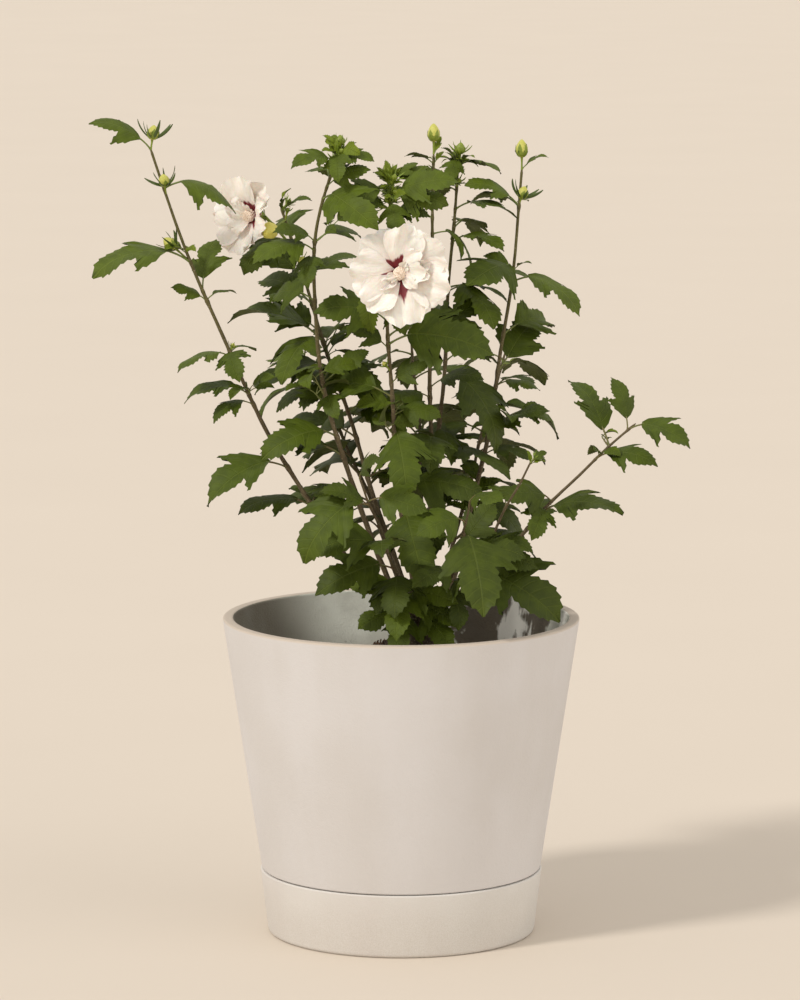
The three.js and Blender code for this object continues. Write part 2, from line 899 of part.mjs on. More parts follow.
// ---------------------------------------------------------------- the group

const COLOURS = {
  pot: new THREE.MeshStandardMaterial({ color: 0xd9cfc2, roughness: 0.75 }),
  saucer: new THREE.MeshStandardMaterial({ color: 0xddd5c6, roughness: 0.72 }),
  soil: new THREE.MeshStandardMaterial({ color: 0x33261d, roughness: 1 }),
  bark: new THREE.MeshStandardMaterial({ color: 0x5a4a38, roughness: 0.85 }),
  leaf: new THREE.MeshStandardMaterial({ color: 0x3f5626, roughness: 0.55 }),
};

const shrub = new THREE.Group();
shrub.name = "potted_hibiscus";

function add(name, geometry, material) {
  const mesh = new THREE.Mesh(geometry, material);
  mesh.name = name;
  shrub.add(mesh);
}

add("pot", geometryOf(potSolid), COLOURS.pot);
add("saucer", geometryOf(saucerSolid), COLOURS.saucer);
add("potting_soil", geometryOf(soil), COLOURS.soil);
add("root_crown", geometryOf(crown), COLOURS.bark);
SHOOTS.forEach(({ name }, i) => {
  add(`${name}_bough`, geometryOf(boughs[i]), COLOURS.bark);
  add(`${name}_shoot`, geometryOf(wasm.Manifold.union(shootParts[i])), COLOURS.leaf);
});
export default shrub;
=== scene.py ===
# %% [markdown]
# # A potted hibiscus
#
# This lesson dresses a plain solid model of a young hibiscus shrub, in its round pot and saucer,
# with the surfaces that the real plant has: bark, toothed leaves with veins, bracted buds and
# ruffled double blooms. The solid model is the frame: it gives the sizes and places, and nothing
# here moves it. The camera and the lamps are placed in metres. The pieces are worked out in
# millimetres, as a grower would measure them, and turned into metres as each mesh is made.

# %% The frame
import math

import bpy
import numpy as np
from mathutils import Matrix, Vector, noise
from mathutils.bvhtree import BVHTree


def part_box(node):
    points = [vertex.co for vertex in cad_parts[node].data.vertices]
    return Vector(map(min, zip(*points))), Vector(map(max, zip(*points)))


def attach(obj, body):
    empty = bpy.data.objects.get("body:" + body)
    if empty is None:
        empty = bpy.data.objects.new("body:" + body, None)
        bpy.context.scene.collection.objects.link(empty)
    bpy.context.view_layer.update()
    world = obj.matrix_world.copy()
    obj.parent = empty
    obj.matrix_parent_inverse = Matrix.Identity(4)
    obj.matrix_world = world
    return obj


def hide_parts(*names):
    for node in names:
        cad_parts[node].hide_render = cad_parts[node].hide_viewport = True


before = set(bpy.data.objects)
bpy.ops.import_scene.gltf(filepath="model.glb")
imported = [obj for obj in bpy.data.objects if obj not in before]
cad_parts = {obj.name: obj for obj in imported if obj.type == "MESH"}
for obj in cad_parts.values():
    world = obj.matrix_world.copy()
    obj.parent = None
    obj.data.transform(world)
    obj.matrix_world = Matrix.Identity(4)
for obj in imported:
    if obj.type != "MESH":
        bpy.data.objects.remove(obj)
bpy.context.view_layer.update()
MM = 0.001
scene = bpy.context.scene


def box_of(node):
    """The lowest and highest corners of a solid, in millimetres."""
    return [np.array(corner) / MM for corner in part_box(node)]


# %% [markdown]
# ## The camera
#
# A long lens from about four metres away keeps the rim of the pot a flat ellipse, as a portrait of
# a plant has it. It looks down by only eight degrees, so the leaves are seen from the side and the
# soil hardly at all. The lens could be shorter and closer, but the near leaves would then look
# larger than the far ones.

# %% The camera
CAMERA_PLACE = (-0.001, -4.143, 0.9686)
CAMERA_TILT = math.radians(8.27)
CAMERA_LENS = 180

lens = bpy.data.cameras.new("camera")
lens.lens = CAMERA_LENS
lens.clip_end = 200
camera = bpy.data.objects.new("camera", lens)
camera.location = CAMERA_PLACE
camera.rotation_euler = (math.pi / 2 - CAMERA_TILT, 0, 0)
scene.collection.objects.link(camera)
scene.camera = camera
print("the camera stands", -CAMERA_PLACE[1], "m in front")

# %% [markdown]
# ## Light
#
# A wide warm lamp from the upper left gives the leaves a bright and a dark side, and a weaker one
# from the right opens the shadows. Suns are used instead of area lamps, because their light doesn't
# fade with distance, so the floor stays one tone to the horizon. The sky is an even pale colour
# that lights the plant from all round.

# %% Light
SKY_COLOUR = (1.0, 0.955, 0.90)
SKY_STRENGTH = 0.78
# Each lamp: the direction it comes from, its strength, its width in degrees, and its colour.
LAMPS = {
    "key": ((-0.74, -0.58, 0.86), 1.58, 9, (1.0, 0.96, 0.905)),
    "fill": ((0.9, -0.5, 0.35), 0.5, 60, (1.0, 0.97, 0.94)),
}

world = bpy.data.worlds.new("sky")
world.use_nodes = True
sky = world.node_tree.nodes["Background"]
sky.inputs["Color"].default_value = (*SKY_COLOUR, 1)
sky.inputs["Strength"].default_value = SKY_STRENGTH
scene.world = world
scene.view_settings.view_transform = "Standard"

for name, (comes_from, strength, width, colour) in LAMPS.items():
    lamp = bpy.data.lights.new(name, "SUN")
    lamp.energy = strength
    lamp.angle = math.radians(width)
    lamp.color = colour
    holder = bpy.data.objects.new(name, lamp)
    holder.rotation_mode = "QUATERNION"
    holder.rotation_quaternion = Vector(comes_from).to_track_quat("Z", "Y")
    scene.collection.objects.link(holder)
print(len(LAMPS), "lamps")

# %% [markdown]
# ## Writing nodes
#
# A finish is a tree of shader nodes, and a scatter of crumbs is a tree of geometry nodes. Written
# as node calls, even a simple sum takes three lines, so a small class wraps a socket and lets it
# take part in Python sums: `0.5 - mask * 2` adds its own Math nodes. Colours are never put through
# Math nodes, which would turn them grey, but through Mix nodes, and every other node comes from one
# method.

# %% Writing nodes
class Wire:
    """A socket of a tree that takes part in sums."""

    def __init__(self, tree, socket):
        self.tree = tree
        self.socket = socket

    def __add__(self, other):
        return self.tree.math("ADD", self, other)

    def __sub__(self, other):
        return self.tree.math("SUBTRACT", self, other)

    def __rsub__(self, other):
        return self.tree.math("SUBTRACT", other, self)

    def __mul__(self, other):
        return self.tree.math("MULTIPLY", self, other)

    __radd__ = __add__
    __rmul__ = __mul__


class Nodes:
    """A tree of nodes, and the one method that adds to it."""

    def __init__(self, tree):
        self.tree = tree

    def node(self, kind, sockets, output=0, **settings):
        made = self.tree.nodes.new(kind)
        for setting, value in settings.items():
            setattr(made, setting, value)
        for socket, value in sockets.items():
            if isinstance(value, Wire):
                self.tree.links.new(value.socket, made.inputs[socket])
            else:
                made.inputs[socket].default_value = value
        return Wire(self, made.outputs[output])

    def math(self, operation, a, b=0.0):
        return self.node("ShaderNodeMath", {0: a, 1: b}, operation=operation)

    def split(self, vector):
        """The three numbers of a vector."""
        return [self.node("ShaderNodeSeparateXYZ", {0: vector}, output=axis) for axis in "XYZ"]

# %% [markdown]
# ## What a finish is made of
#
# Every finish on the plant is a Principled shader whose colour, roughness and bump vary a little
# over the surface, as no grown or moulded thing is one flat tone. Two kinds of place drive the
# variation. A pattern that has nothing to do with the shape, such as a stain, reads where it is on
# the object. One that follows the shape, such as a vein, reads the strip coordinates that each
# leaf, petal and stem carries. Colours are given as on a paint card, from 0 to 255.

# %% What a finish is made of
def paint(red, green, blue):
    """A paint-card colour as the linear light that shaders use."""
    shares = [part / 255 for part in (red, green, blue)]
    return tuple(((c + 0.055) / 1.055) ** 2.4 if c > 0.04 else c / 12.92 for c in shares)


class Finish(Nodes):
    """A material with one Principled shader. Constants are set on the shader's own sockets."""

    def __init__(self, name, **constants):
        self.material = bpy.data.materials.new(name)
        self.material.use_nodes = True
        super().__init__(self.material.node_tree)
        self.shader = self.tree.nodes["Principled BSDF"]
        for socket, value in constants.items():
            self.shader.inputs[socket.replace("_", " ").title().replace("Ior", "IOR")].default_value = value

    def place(self):
        """Where on the object a point is, in metres."""
        return self.node("ShaderNodeTexCoord", {}, output="Object")

    def strip(self):
        """A surface's own coordinates, across and along a leaf, petal or stem."""
        return self.split(self.node("ShaderNodeUVMap", {}, uv_map="UVMap"))[:2]

    def noise(self, scale, detail=2.0, stretch=(1, 1, 1), of=None):
        """Cloudy values round 0.5, of so many clouds to the metre."""
        place = self.node("ShaderNodeMapping", {"Vector": of or self.place(), "Scale": stretch})
        return self.node("ShaderNodeTexNoise", {"Vector": place, "Scale": scale, "Detail": detail})

    def rise(self, value, low, high):
        """0 below low and 1 above high, with a smooth rise between them."""
        sockets = {"Value": value, "From Min": low, "From Max": high}
        return self.node("ShaderNodeMapRange", sockets, interpolation_type="SMOOTHSTEP")

    def blend(self, mask, a, b):
        """Colour a where the mask is 0 and colour b where it is 1."""
        a, b = [c if isinstance(c, Wire) else (*c, 1.0) for c in (a, b)]
        return self.node("ShaderNodeMix", {0: mask, 6: a, 7: b}, output=2, data_type="RGBA")

    def bump(self, height, depth):
        return self.node("ShaderNodeBump", {"Height": height, "Distance": depth})

    def set(self, **surface):
        """Plugs wires into the shader's sockets, such as base_color or roughness."""
        for socket, wire in surface.items():
            self.tree.links.new(wire.socket, self.shader.inputs[socket.replace("_", " ").title()])
        return self

# %% [markdown]
# ## The floor
#
# The stage is one wide pale floor, far larger than the view, with nothing on it.

# %% The floor
FLOOR_REACH = 60

floor_finish = Finish("pale_floor", roughness=0.9)
floor_finish.set(
    base_color=floor_finish.blend(floor_finish.noise(3.0), paint(217, 206, 192), paint(214, 203, 189)),
)
bpy.ops.mesh.primitive_plane_add(size=2 * FLOOR_REACH)
floor = bpy.context.object
floor.name = "floor"
floor.data.materials.append(floor_finish.material)
print("the floor reaches", FLOOR_REACH, "m each way")

# %% [markdown]
# ## Heaping up a mesh
#
# Leaves, petals and twigs are many small surfaces of a few kinds. Adding each as an object and
# joining them would be slow, so their corners, faces and strip coordinates are heaped up in arrays,
# and each heap becomes one mesh in one call. A heap also keeps the tint of each face, so that one
# piece carries several finishes.

# %% Heaping up a mesh
class Heap:
    """The corners, faces, tints and strip coordinates of one piece, in millimetres."""

    def __init__(self):
        self.corners, self.faces, self.tints, self.strips = [], [], [], []
        self.size = 0

    def add(self, corners, strips, faces, tint):
        """Adds a block: its corners, the strip coordinates of each, and faces that index the block."""
        self.corners.append(np.reshape(corners, (-1, 3)))
        self.strips.append(np.reshape(strips, (-1, 2)))
        self.faces.extend([[self.size + i for i in face] for face in faces])
        self.tints.extend([tint] * len(faces))
        self.size += len(self.corners[-1])

    def piece(self, name, finishes, replaces=(), slot="foliage"):
        """Makes the mesh, in metres, with smooth faces and sharp margins."""
        mesh = bpy.data.meshes.new(name)
        mesh.from_pydata((np.concatenate(self.corners) * MM).tolist(), [], self.faces)
        for finish in finishes:
            mesh.materials.append(finish.material)
        mesh.polygons.foreach_set("material_index", self.tints)
        mesh.polygons.foreach_set("use_smooth", [True] * len(mesh.polygons))
        corner_of = np.empty(len(mesh.loops), int)
        mesh.loops.foreach_get("vertex_index", corner_of)
        layer = mesh.uv_layers.new(name="UVMap")
        layer.data.foreach_set("uv", np.concatenate(self.strips)[corner_of].ravel())
        mesh.set_sharp_from_angle(angle=math.radians(65))
        mesh.update()
        return settle(bpy.data.objects.new(name, mesh), replaces)


def settle(piece, replaces):
    """Puts a finished piece on the plant's one body, in place of the solids that it stands for."""
    if not piece.users_collection:
        scene.collection.objects.link(piece)
    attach(piece, "root")
    if replaces:
        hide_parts(*replaces)
    print(piece.name, "has", sum(len(face.vertices) - 2 for face in piece.data.polygons), "triangles")
    return piece


def grid(rows, columns, closed=False):
    """The faces of a grid of corners, which may close round its columns."""
    faces = []
    for start in range(0, (rows - 1) * columns, columns):
        for c in range(columns if closed else columns - 1):
            ahead = (c + 1) % columns
            faces.append([start + c, start + ahead, start + columns + ahead, start + columns + c])
    return faces

# %% [markdown]
# ## The pot and its saucer
#
# Both are moulded bodies of revolution: a profile turned round the upright axis. The profile starts
# and ends on the axis, so the body is closed, and each of its edges is a small curve, because a
# moulded rim is never knife-sharp and its soft edge is what catches the light. A Screw modifier
# would turn the profile too, but working it out directly keeps the poles clean. The inner wall is
# greyer than the outer one, with painted shade, painted leaf shadow and sunlit patches, and damp soil.

# %% A turned body
TURNED_SIDES = 240


def eased(corners):
    """A profile of [radius, height, ease], where each corner becomes a curve that starts that far from it."""
    points = []
    for i, (radius, height, ease) in enumerate(corners):
        corner = np.array([radius, height])
        if not ease:
            points.append(corner)
            continue
        start, end = [
            corner + ease * (there - corner) / np.linalg.norm(there - corner)
            for there in (np.array(corners[i - 1][:2]), np.array(corners[i + 1][:2]))
        ]
        for t in np.linspace(0, 1, 6):
            points.append((1 - t) ** 2 * start + 2 * t * (1 - t) * corner + t**2 * end)
    return np.array(points)


def turn(heap, profile, inside_from=math.inf):
    """Adds a profile turned round the axis. Its bands from inside_from on get the second tint."""
    angle = np.linspace(0, 2 * math.pi, TURNED_SIDES, endpoint=False)
    rim = profile[1:-1]
    radius, height = rim[:, :1], rim[:, 1:]
    corners = np.stack(np.broadcast_arrays(radius * np.cos(angle), radius * np.sin(angle), height), -1)
    run = np.concatenate([[0], np.cumsum(np.linalg.norm(np.diff(rim, axis=0), axis=1))])
    strips = np.stack(np.broadcast_arrays(np.abs(angle / math.pi - 1), run[:, None] * MM), -1)
    poles = [[0, 0, profile[0][1]], [0, 0, profile[-1][1]]]
    sides, top = TURNED_SIDES, (len(rim) - 1) * TURNED_SIDES
    first, last = top + sides, top + sides + 1
    faces = [[first, (i + 1) % sides, i] for i in range(sides)]
    faces += grid(len(rim), sides, closed=True)
    faces += [[top + i, top + (i + 1) % sides, last] for i in range(sides)]
    before = len(heap.tints)
    heap.add(
        np.concatenate([corners.reshape(-1, 3), poles]),
        np.concatenate([strips.reshape(-1, 2), [[0, 0], [0, 1]]]),
        faces,
        0,
    )
    heap.tints[before:] = [int(face // sides >= inside_from) for face in range(len(faces))]

# %% Sizes of the pot and the saucer
pot_low, pot_high = box_of("pot")
saucer_high = box_of("saucer")[1]
soil_low, soil_high = box_of("potting_soil")

RIM_RADIUS, RIM_HEIGHT, POT_BASE = pot_high[0], pot_high[2], pot_low[2]
SAUCER_RADIUS, SAUCER_HEIGHT = saucer_high[0], saucer_high[2]
# The sizes that the boxes of the solids don't tell, in millimetres.
WAIST_RADIUS = 117.6  # of the pot, where it leaves the saucer
WALL = 9.3
FLOOR_THICKNESS = 9
POT_FLOOR = POT_BASE + FLOOR_THICKNESS
SEAM = 0.7  # the gap between the pot's shoulder and the saucer's rim
SAUCER_FOOT = 112.4
SAUCER_WALL = 3.8
SAUCER_FLOOR = 8.7

SHOULDER = SAUCER_HEIGHT + SEAM
WALL_SLOPE = (RIM_RADIUS - WAIST_RADIUS) / (RIM_HEIGHT - SHOULDER)


def pot_inner(height):
    """The radius of the pot's inner wall."""
    return RIM_RADIUS - WALL - WALL_SLOPE * (RIM_HEIGHT - height)


def saucer_inner(height):
    """The radius of the saucer's inner wall."""
    return SAUCER_FOOT + (SAUCER_RADIUS - SAUCER_FOOT) * height / SAUCER_HEIGHT - SAUCER_WALL


print("the rim is", round(2 * RIM_RADIUS), "mm across and", round(RIM_HEIGHT), "mm up")

# %% [markdown]
# ## Moulded stoneware-like plastic
#
# The outside is a matt warm white. Broad soft clouds keep it from looking like one flat tone, fine
# grains give the matt moulded skin, and a faint grey collects near the seam and the foot, where
# hands and damp dust have been.

# %% The finish of the pot
# The painted shade that the foliage casts on the top of the rim.
LIP_SHADE = paint(200, 187, 172)
# Heights on the object, in metres: where the lip's painted shade starts and is whole, and where dust ends.
LIP_SHADE_FROM, LIP_SHADE_WHOLE = (RIM_HEIGHT - 2.5) * MM, (RIM_HEIGHT - 0.5) * MM
DUST_WHOLE, DUST_ENDS = 0.03, 0.085


def moulded_finish(name, light, dark, dusty):
    finish = Finish(name)
    _, _, height = finish.split(finish.place())
    clouds = finish.noise(9, 4)
    streaks = finish.noise(26, 3, stretch=(1, 1, 0.14))
    grains = finish.noise(1400, 2)
    skin = finish.blend(finish.rise(clouds * 0.6 + streaks * 0.4, 0.36, 0.66), dark, light)
    dust = finish.rise(height + finish.noise(40, 4) * 0.03, DUST_ENDS, DUST_WHOLE)
    dust = dust * finish.rise(grains, 0.3, 0.7)
    # The top of the rim is painted darker, as painted shade from the foliage above.
    skin = finish.blend(finish.rise(height, LIP_SHADE_FROM, LIP_SHADE_WHOLE), skin, LIP_SHADE)
    finish.set(
        base_color=finish.blend(dust * 0.35, skin, dusty),
        roughness=0.62 + clouds * 0.16 + grains * 0.06,
        normal=finish.bump(grains * 0.5 + finish.noise(320, 3) * 0.5, 0.00035),
    )
    return finish


def inner_wall_finish():
    """Painted shade and sunlight, and soil stains, by place: rise() turns metres to the right of the axis, or
    above the floor, into masks.
    """
    finish = Finish("pot_inside")
    right, _, height = finish.split(finish.place())
    blotches = finish.noise(26, 6)
    runs = finish.noise(46, 4, stretch=(1, 1, 0.14))
    skin = finish.blend(finish.rise(blotches, 0.35, 0.7), paint(238, 240, 228), paint(204, 204, 192))
    # Painted shade on one side; on the other, a brown band of painted leaf shadow and soil stain, with
    # painted sunlit streaks.
    lean = right + height * 0.35 + blotches * 0.05
    skin = finish.blend(finish.rise(lean, 0.052, -0.004) * 0.75, skin, paint(96, 80, 54))
    # A brown band of painted leaf shadow, partly soil stain.
    ragged = right + blotches * 0.11 + runs * 0.03
    leaf_shadow_and_stain = finish.rise(ragged, 0.112, 0.118) * finish.rise(ragged, 0.196, 0.186)
    skin = finish.blend(leaf_shadow_and_stain * 0.92, skin, paint(80, 66, 46))
    # Pale streaks in the band are painted patches of sunlight through the leaves.
    sunlit_patch = finish.rise(runs * 0.6 + blotches * 0.4, 0.505, 0.545) * finish.rise(right, 0.066, 0.078)
    skin = finish.blend(sunlit_patch * 0.95, skin, paint(250, 248, 240))
    # A tide mark of damp and splashed soil above the soil's edge.
    tide = finish.rise(height + blotches * 0.022, 0.245, 0.218)
    skin = finish.blend(tide * 0.45, skin, paint(122, 108, 88))
    specks = finish.rise(finish.noise(420, 2), 0.6, 0.68) * tide
    finish.set(
        base_color=finish.blend(specks, skin, paint(70, 56, 42)),
        roughness=0.7 - tide * 0.15 + blotches * 0.1,
        normal=finish.bump(finish.noise(700, 3), 0.0004),
    )
    return finish


POT_PAINTS = paint(215, 212, 211), paint(209, 205, 202), paint(178, 169, 155)
SAUCER_PAINTS = paint(218, 215, 210), paint(212, 207, 202), paint(182, 173, 157)
pot_outside = moulded_finish("pot_outside", *POT_PAINTS)
saucer_skin = moulded_finish("saucer_skin", *SAUCER_PAINTS)
pot_inside = inner_wall_finish()
print("finishes:", pot_outside.material.name, pot_inside.material.name, saucer_skin.material.name)

# %% The pot
pot = Heap()
pot_profile = eased([
    [0, POT_BASE, 0],
    [saucer_inner(POT_BASE) - 1, POT_BASE, 3],
    [saucer_inner(SHOULDER) - 1, SHOULDER, 0.8],
    [WAIST_RADIUS, SHOULDER, 1.6],
    [RIM_RADIUS, RIM_HEIGHT, 2.4],
    [RIM_RADIUS - WALL, RIM_HEIGHT, 2.0],
    [pot_inner(POT_FLOOR), POT_FLOOR, 5],
    [0, POT_FLOOR, 0],
])
inner_edge = max(i for i, point in enumerate(pot_profile) if point[1] > RIM_HEIGHT - 0.5)
turn(pot, pot_profile, inside_from=inner_edge)
pot.piece("pot_body", [pot_outside, pot_inside], ["pot"], "pot")

# %% The saucer
saucer = Heap()
saucer_profile = eased([
    [0, 0, 0],
    [SAUCER_FOOT, 0, 3.4],
    [SAUCER_RADIUS, SAUCER_HEIGHT, 1.3],
    [saucer_inner(SAUCER_HEIGHT), SAUCER_HEIGHT, 1],
    [saucer_inner(SAUCER_FLOOR), SAUCER_FLOOR, 3],
    [0, SAUCER_FLOOR, 0],
])
turn(saucer, saucer_profile)
saucer.piece("saucer_body", [saucer_skin], ["saucer"], "saucer")

# %% [markdown]
# ## The soil
#
# Potting soil fills the pot and mounds up round the foot of the shrub. Its surface is a disc of
# rings whose height follows the mound, roughened by fractal noise, and closed below by the wall and
# the floor of the pot. A displacement texture would roughen it too, but noise worked out for each
# corner keeps the edge at the wall exactly in place.

# %% The soil's surface
SOIL_LEVEL = 212
SOIL_RINGS, SOIL_SIDES = 46, 150
WALL_GAP, FLOOR_GAP = 0.6, 4  # between the soil and the wall, at its surface and at the pot's floor
SETTLED = 1.0  # how far the surface lies below the solid's, which leaves room for its lumps
FOOT = np.array([20, 0, soil_high[2]])


def smooth(value, low, high):
    """0 below low and 1 above high, with a smooth rise between them."""
    t = np.clip((value - low) / (high - low), 0, 1)
    return t * t * (3 - 2 * t)


def lerp(a, b, share):
    return a + (b - a) * share


def soil_height(share):
    """The height of the mound, from its middle to the wall."""
    return lerp(FOOT[2], SOIL_LEVEL, smooth(share, 0.18, 0.8))


def lump(x, y):
    """The roughness of the soil at a place, in millimetres."""
    return 2.6 * noise.fractal(Vector((x, y, 7)) / 16, 0.8, 2.1, 4)


def soil_corners():
    """Rings from the mound out, one on the pot's floor, then the mound's top and the floor's middle."""
    edge = pot_inner(SOIL_LEVEL) - WALL_GAP
    base = pot_inner(soil_low[2]) - FLOOR_GAP
    angles = [2 * math.pi * side / SOIL_SIDES for side in range(SOIL_SIDES)]
    corners = []
    for ring in range(1, SOIL_RINGS + 1):
        share = ring / SOIL_RINGS
        calm = float(smooth(share, 0.0, 0.15)) * (1 - 0.6 * float(smooth(share, 0.93, 1)))
        for angle in angles:
            x = lerp(FOOT[0], edge * math.cos(angle), share)
            y = edge * math.sin(angle) * share
            corners.append([x, y, soil_height(share) - SETTLED + lump(x, y) * calm])
    corners += [[base * math.cos(angle), base * math.sin(angle), soil_low[2]] for angle in angles]
    return corners + [[FOOT[0], FOOT[1], FOOT[2] - SETTLED], [0, 0, soil_low[2]]]


corners = soil_corners()
mound_top, soil_bottom = len(corners) - 2, len(corners) - 1
last_ring = SOIL_RINGS * SOIL_SIDES
faces = [face[::-1] for face in grid(SOIL_RINGS + 1, SOIL_SIDES, closed=True)]
for side in range(SOIL_SIDES):
    ahead = (side + 1) % SOIL_SIDES
    faces += [[mound_top, side, ahead], [soil_bottom, last_ring + ahead, last_ring + side]]
soil = Heap()
soil.add(corners, np.array(corners)[:, :2] * MM, faces, 0)
print("the soil has", len(corners), "corners")

# %% [markdown]
# ## The finish of the soil
#
# Damp potting mix is almost black where it is fine and brown where a crust has dried. The same
# finish in other paints also serves the chips of bark, because both are the same kind of broken,
# fibrous stuff.

# %% The soil
def soil_finish(name, light, dark):
    finish = Finish(name, roughness=0.95)
    clods = finish.noise(120, 6)
    fibres = finish.noise(900, 3)
    finish.set(
        base_color=finish.blend(finish.rise(clods * 0.5 + fibres * 0.5, 0.35, 0.65), dark, light),
        normal=finish.bump(clods * 0.6 + fibres * 0.4, 0.0015),
    )
    return finish


peat = soil_finish("peat", paint(72, 56, 42), paint(38, 29, 22))
soil_piece = soil.piece("soil_surface", [peat], ["potting_soil"], "soil")

# %% [markdown]
# ## Crumbs, bark chips and white grains
#
# Real potting mix is thousands of small bits. They repeat, so Geometry Nodes scatter them: points
# are dealt over the upward faces of the soil, a low-poly ball is set on each, turned and squeezed
# at random, and noise then knocks every ball out of round. The tree ends by making the copies real,
# because an export would drop copies that aren't.

# %% A scatter of crumbs
class Recipe(Nodes):
    """A tree of geometry nodes with named inputs, run once on a piece."""

    def __init__(self, name):
        super().__init__(bpy.data.node_groups.new(name, "GeometryNodeTree"))
        self.tree.interface.new_socket("Geometry", in_out="INPUT", socket_type="NodeSocketGeometry")
        self.tree.interface.new_socket("Geometry", in_out="OUTPUT", socket_type="NodeSocketGeometry")
        self.given = self.tree.nodes.new("NodeGroupInput")
        self.surface = Wire(self, self.given.outputs[0])
        self.sizes = {}

    def size(self, name, value):
        """A named input of the tree, with the value that this run gives it."""
        whole = isinstance(value, int)
        kind = "NodeSocketInt" if whole else "NodeSocketFloat"
        socket = self.tree.interface.new_socket(name, in_out="INPUT", socket_type=kind)
        self.sizes[socket.identifier] = value
        return Wire(self, self.given.outputs[name])

    def random(self, low, high, seed):
        """A random vector between two."""
        return self.node("FunctionNodeRandomValue", {0: low, 1: high, 8: seed}, data_type="FLOAT_VECTOR")

    def set_on(self, points, bit, seed, scale):
        """A bit on each of some points, turned any way."""
        turned = self.random((0, 0, 0), (6.28, 6.28, 6.28), seed)
        sockets = {"Points": points, "Instance": bit, "Rotation": turned, "Scale": scale}
        return self.node("GeometryNodeInstanceOnPoints", sockets)

    def run(self, result, on, name, finish):
        """Ends the tree, runs it on a piece, and returns what it makes as a plain object."""
        result = self.node("GeometryNodeRealizeInstances", {"Geometry": result})
        result = self.node("GeometryNodeSetMaterial", {"Geometry": result, "Material": finish.material})
        end = self.tree.nodes.new("NodeGroupOutput")
        self.tree.links.new(result.socket, end.inputs[0])
        carrier = bpy.data.objects.new(name + "_carrier", on.data)
        scene.collection.objects.link(carrier)
        modifier = carrier.modifiers.new(name, "NODES")
        modifier.node_group = self.tree
        for identifier, value in self.sizes.items():
            modifier[identifier] = value
        made = bpy.data.meshes.new_from_object(carrier.evaluated_get(bpy.context.evaluated_depsgraph_get()))
        bpy.data.objects.remove(carrier)
        made.name = name
        return bpy.data.objects.new(name, made)


def scatter(name, on, finish, density, size, shape, seed):
    """Bits of about a size, in metres, stretched within a shape, on the upward faces of a piece."""
    recipe = Recipe(name)
    density = recipe.size("Bits per square metre", density)
    size = recipe.size("Size", size)
    seed = recipe.size("Seed", seed)
    facing = recipe.split(recipe.node("GeometryNodeInputNormal", {}))[2]
    upward = recipe.math("GREATER_THAN", facing, 0.5)
    points = recipe.node(
        "GeometryNodeDistributePointsOnFaces",
        {"Mesh": recipe.surface, "Selection": upward, "Density": density, "Seed": seed},
    )
    ball = recipe.node("GeometryNodeMeshIcoSphere", {"Radius": size, "Subdivisions": 1})
    bits = recipe.set_on(points, ball, seed, recipe.random(*shape, seed))
    bits = recipe.node("GeometryNodeRealizeInstances", {"Geometry": bits})
    rough = recipe.node("ShaderNodeTexNoise", {"Scale": 420.0, "Detail": 1.0}, output="Color")
    rough = recipe.node("ShaderNodeVectorMath", {0: rough, 1: (0.5, 0.5, 0.5)}, operation="SUBTRACT")
    rough = recipe.node("ShaderNodeVectorMath", {0: rough, "Scale": size * 1.1}, operation="SCALE")
    bits = recipe.node("GeometryNodeSetPosition", {"Geometry": bits, "Offset": rough})
    return settle(recipe.run(bits, on, name, finish), [])


white_grain = Finish("white_grain", roughness=0.9)
grain = white_grain.noise(600, 3)
white_grain.set(
    base_color=white_grain.blend(grain, paint(196, 190, 178), paint(228, 224, 214)),
    normal=white_grain.bump(grain, 0.001),
)
chip = soil_finish("bark_chip", paint(104, 76, 52), paint(52, 37, 27))

ROUND = ((0.5, 0.5, 0.5), (1.2, 1.2, 1.2))
SPLINTER = ((0.4, 0.2, 0.15), (1.8, 0.6, 0.35))
scatter("soil_crumbs", soil_piece, peat, 92000.0, 0.0016, ROUND, 3)
scatter("bark_chips", soil_piece, chip, 9000.0, 0.0034, SPLINTER, 5)
scatter("white_grains", soil_piece, white_grain, 2600.0, 0.0016, ROUND, 8)

# %% [markdown]
# ## The planting plan
#
# Fifteen shoots rise from one root crown. Each curves from its foot, towards its bend, to its tip.
# The lowest stretch is a bare bough, and the rest is a leafy shoot. The plan is the same one that
# the solid plant was grown from, so that every stem and leaf here lies on its solid. Directions are
# degrees from +X towards +Y, with 270 to the front.

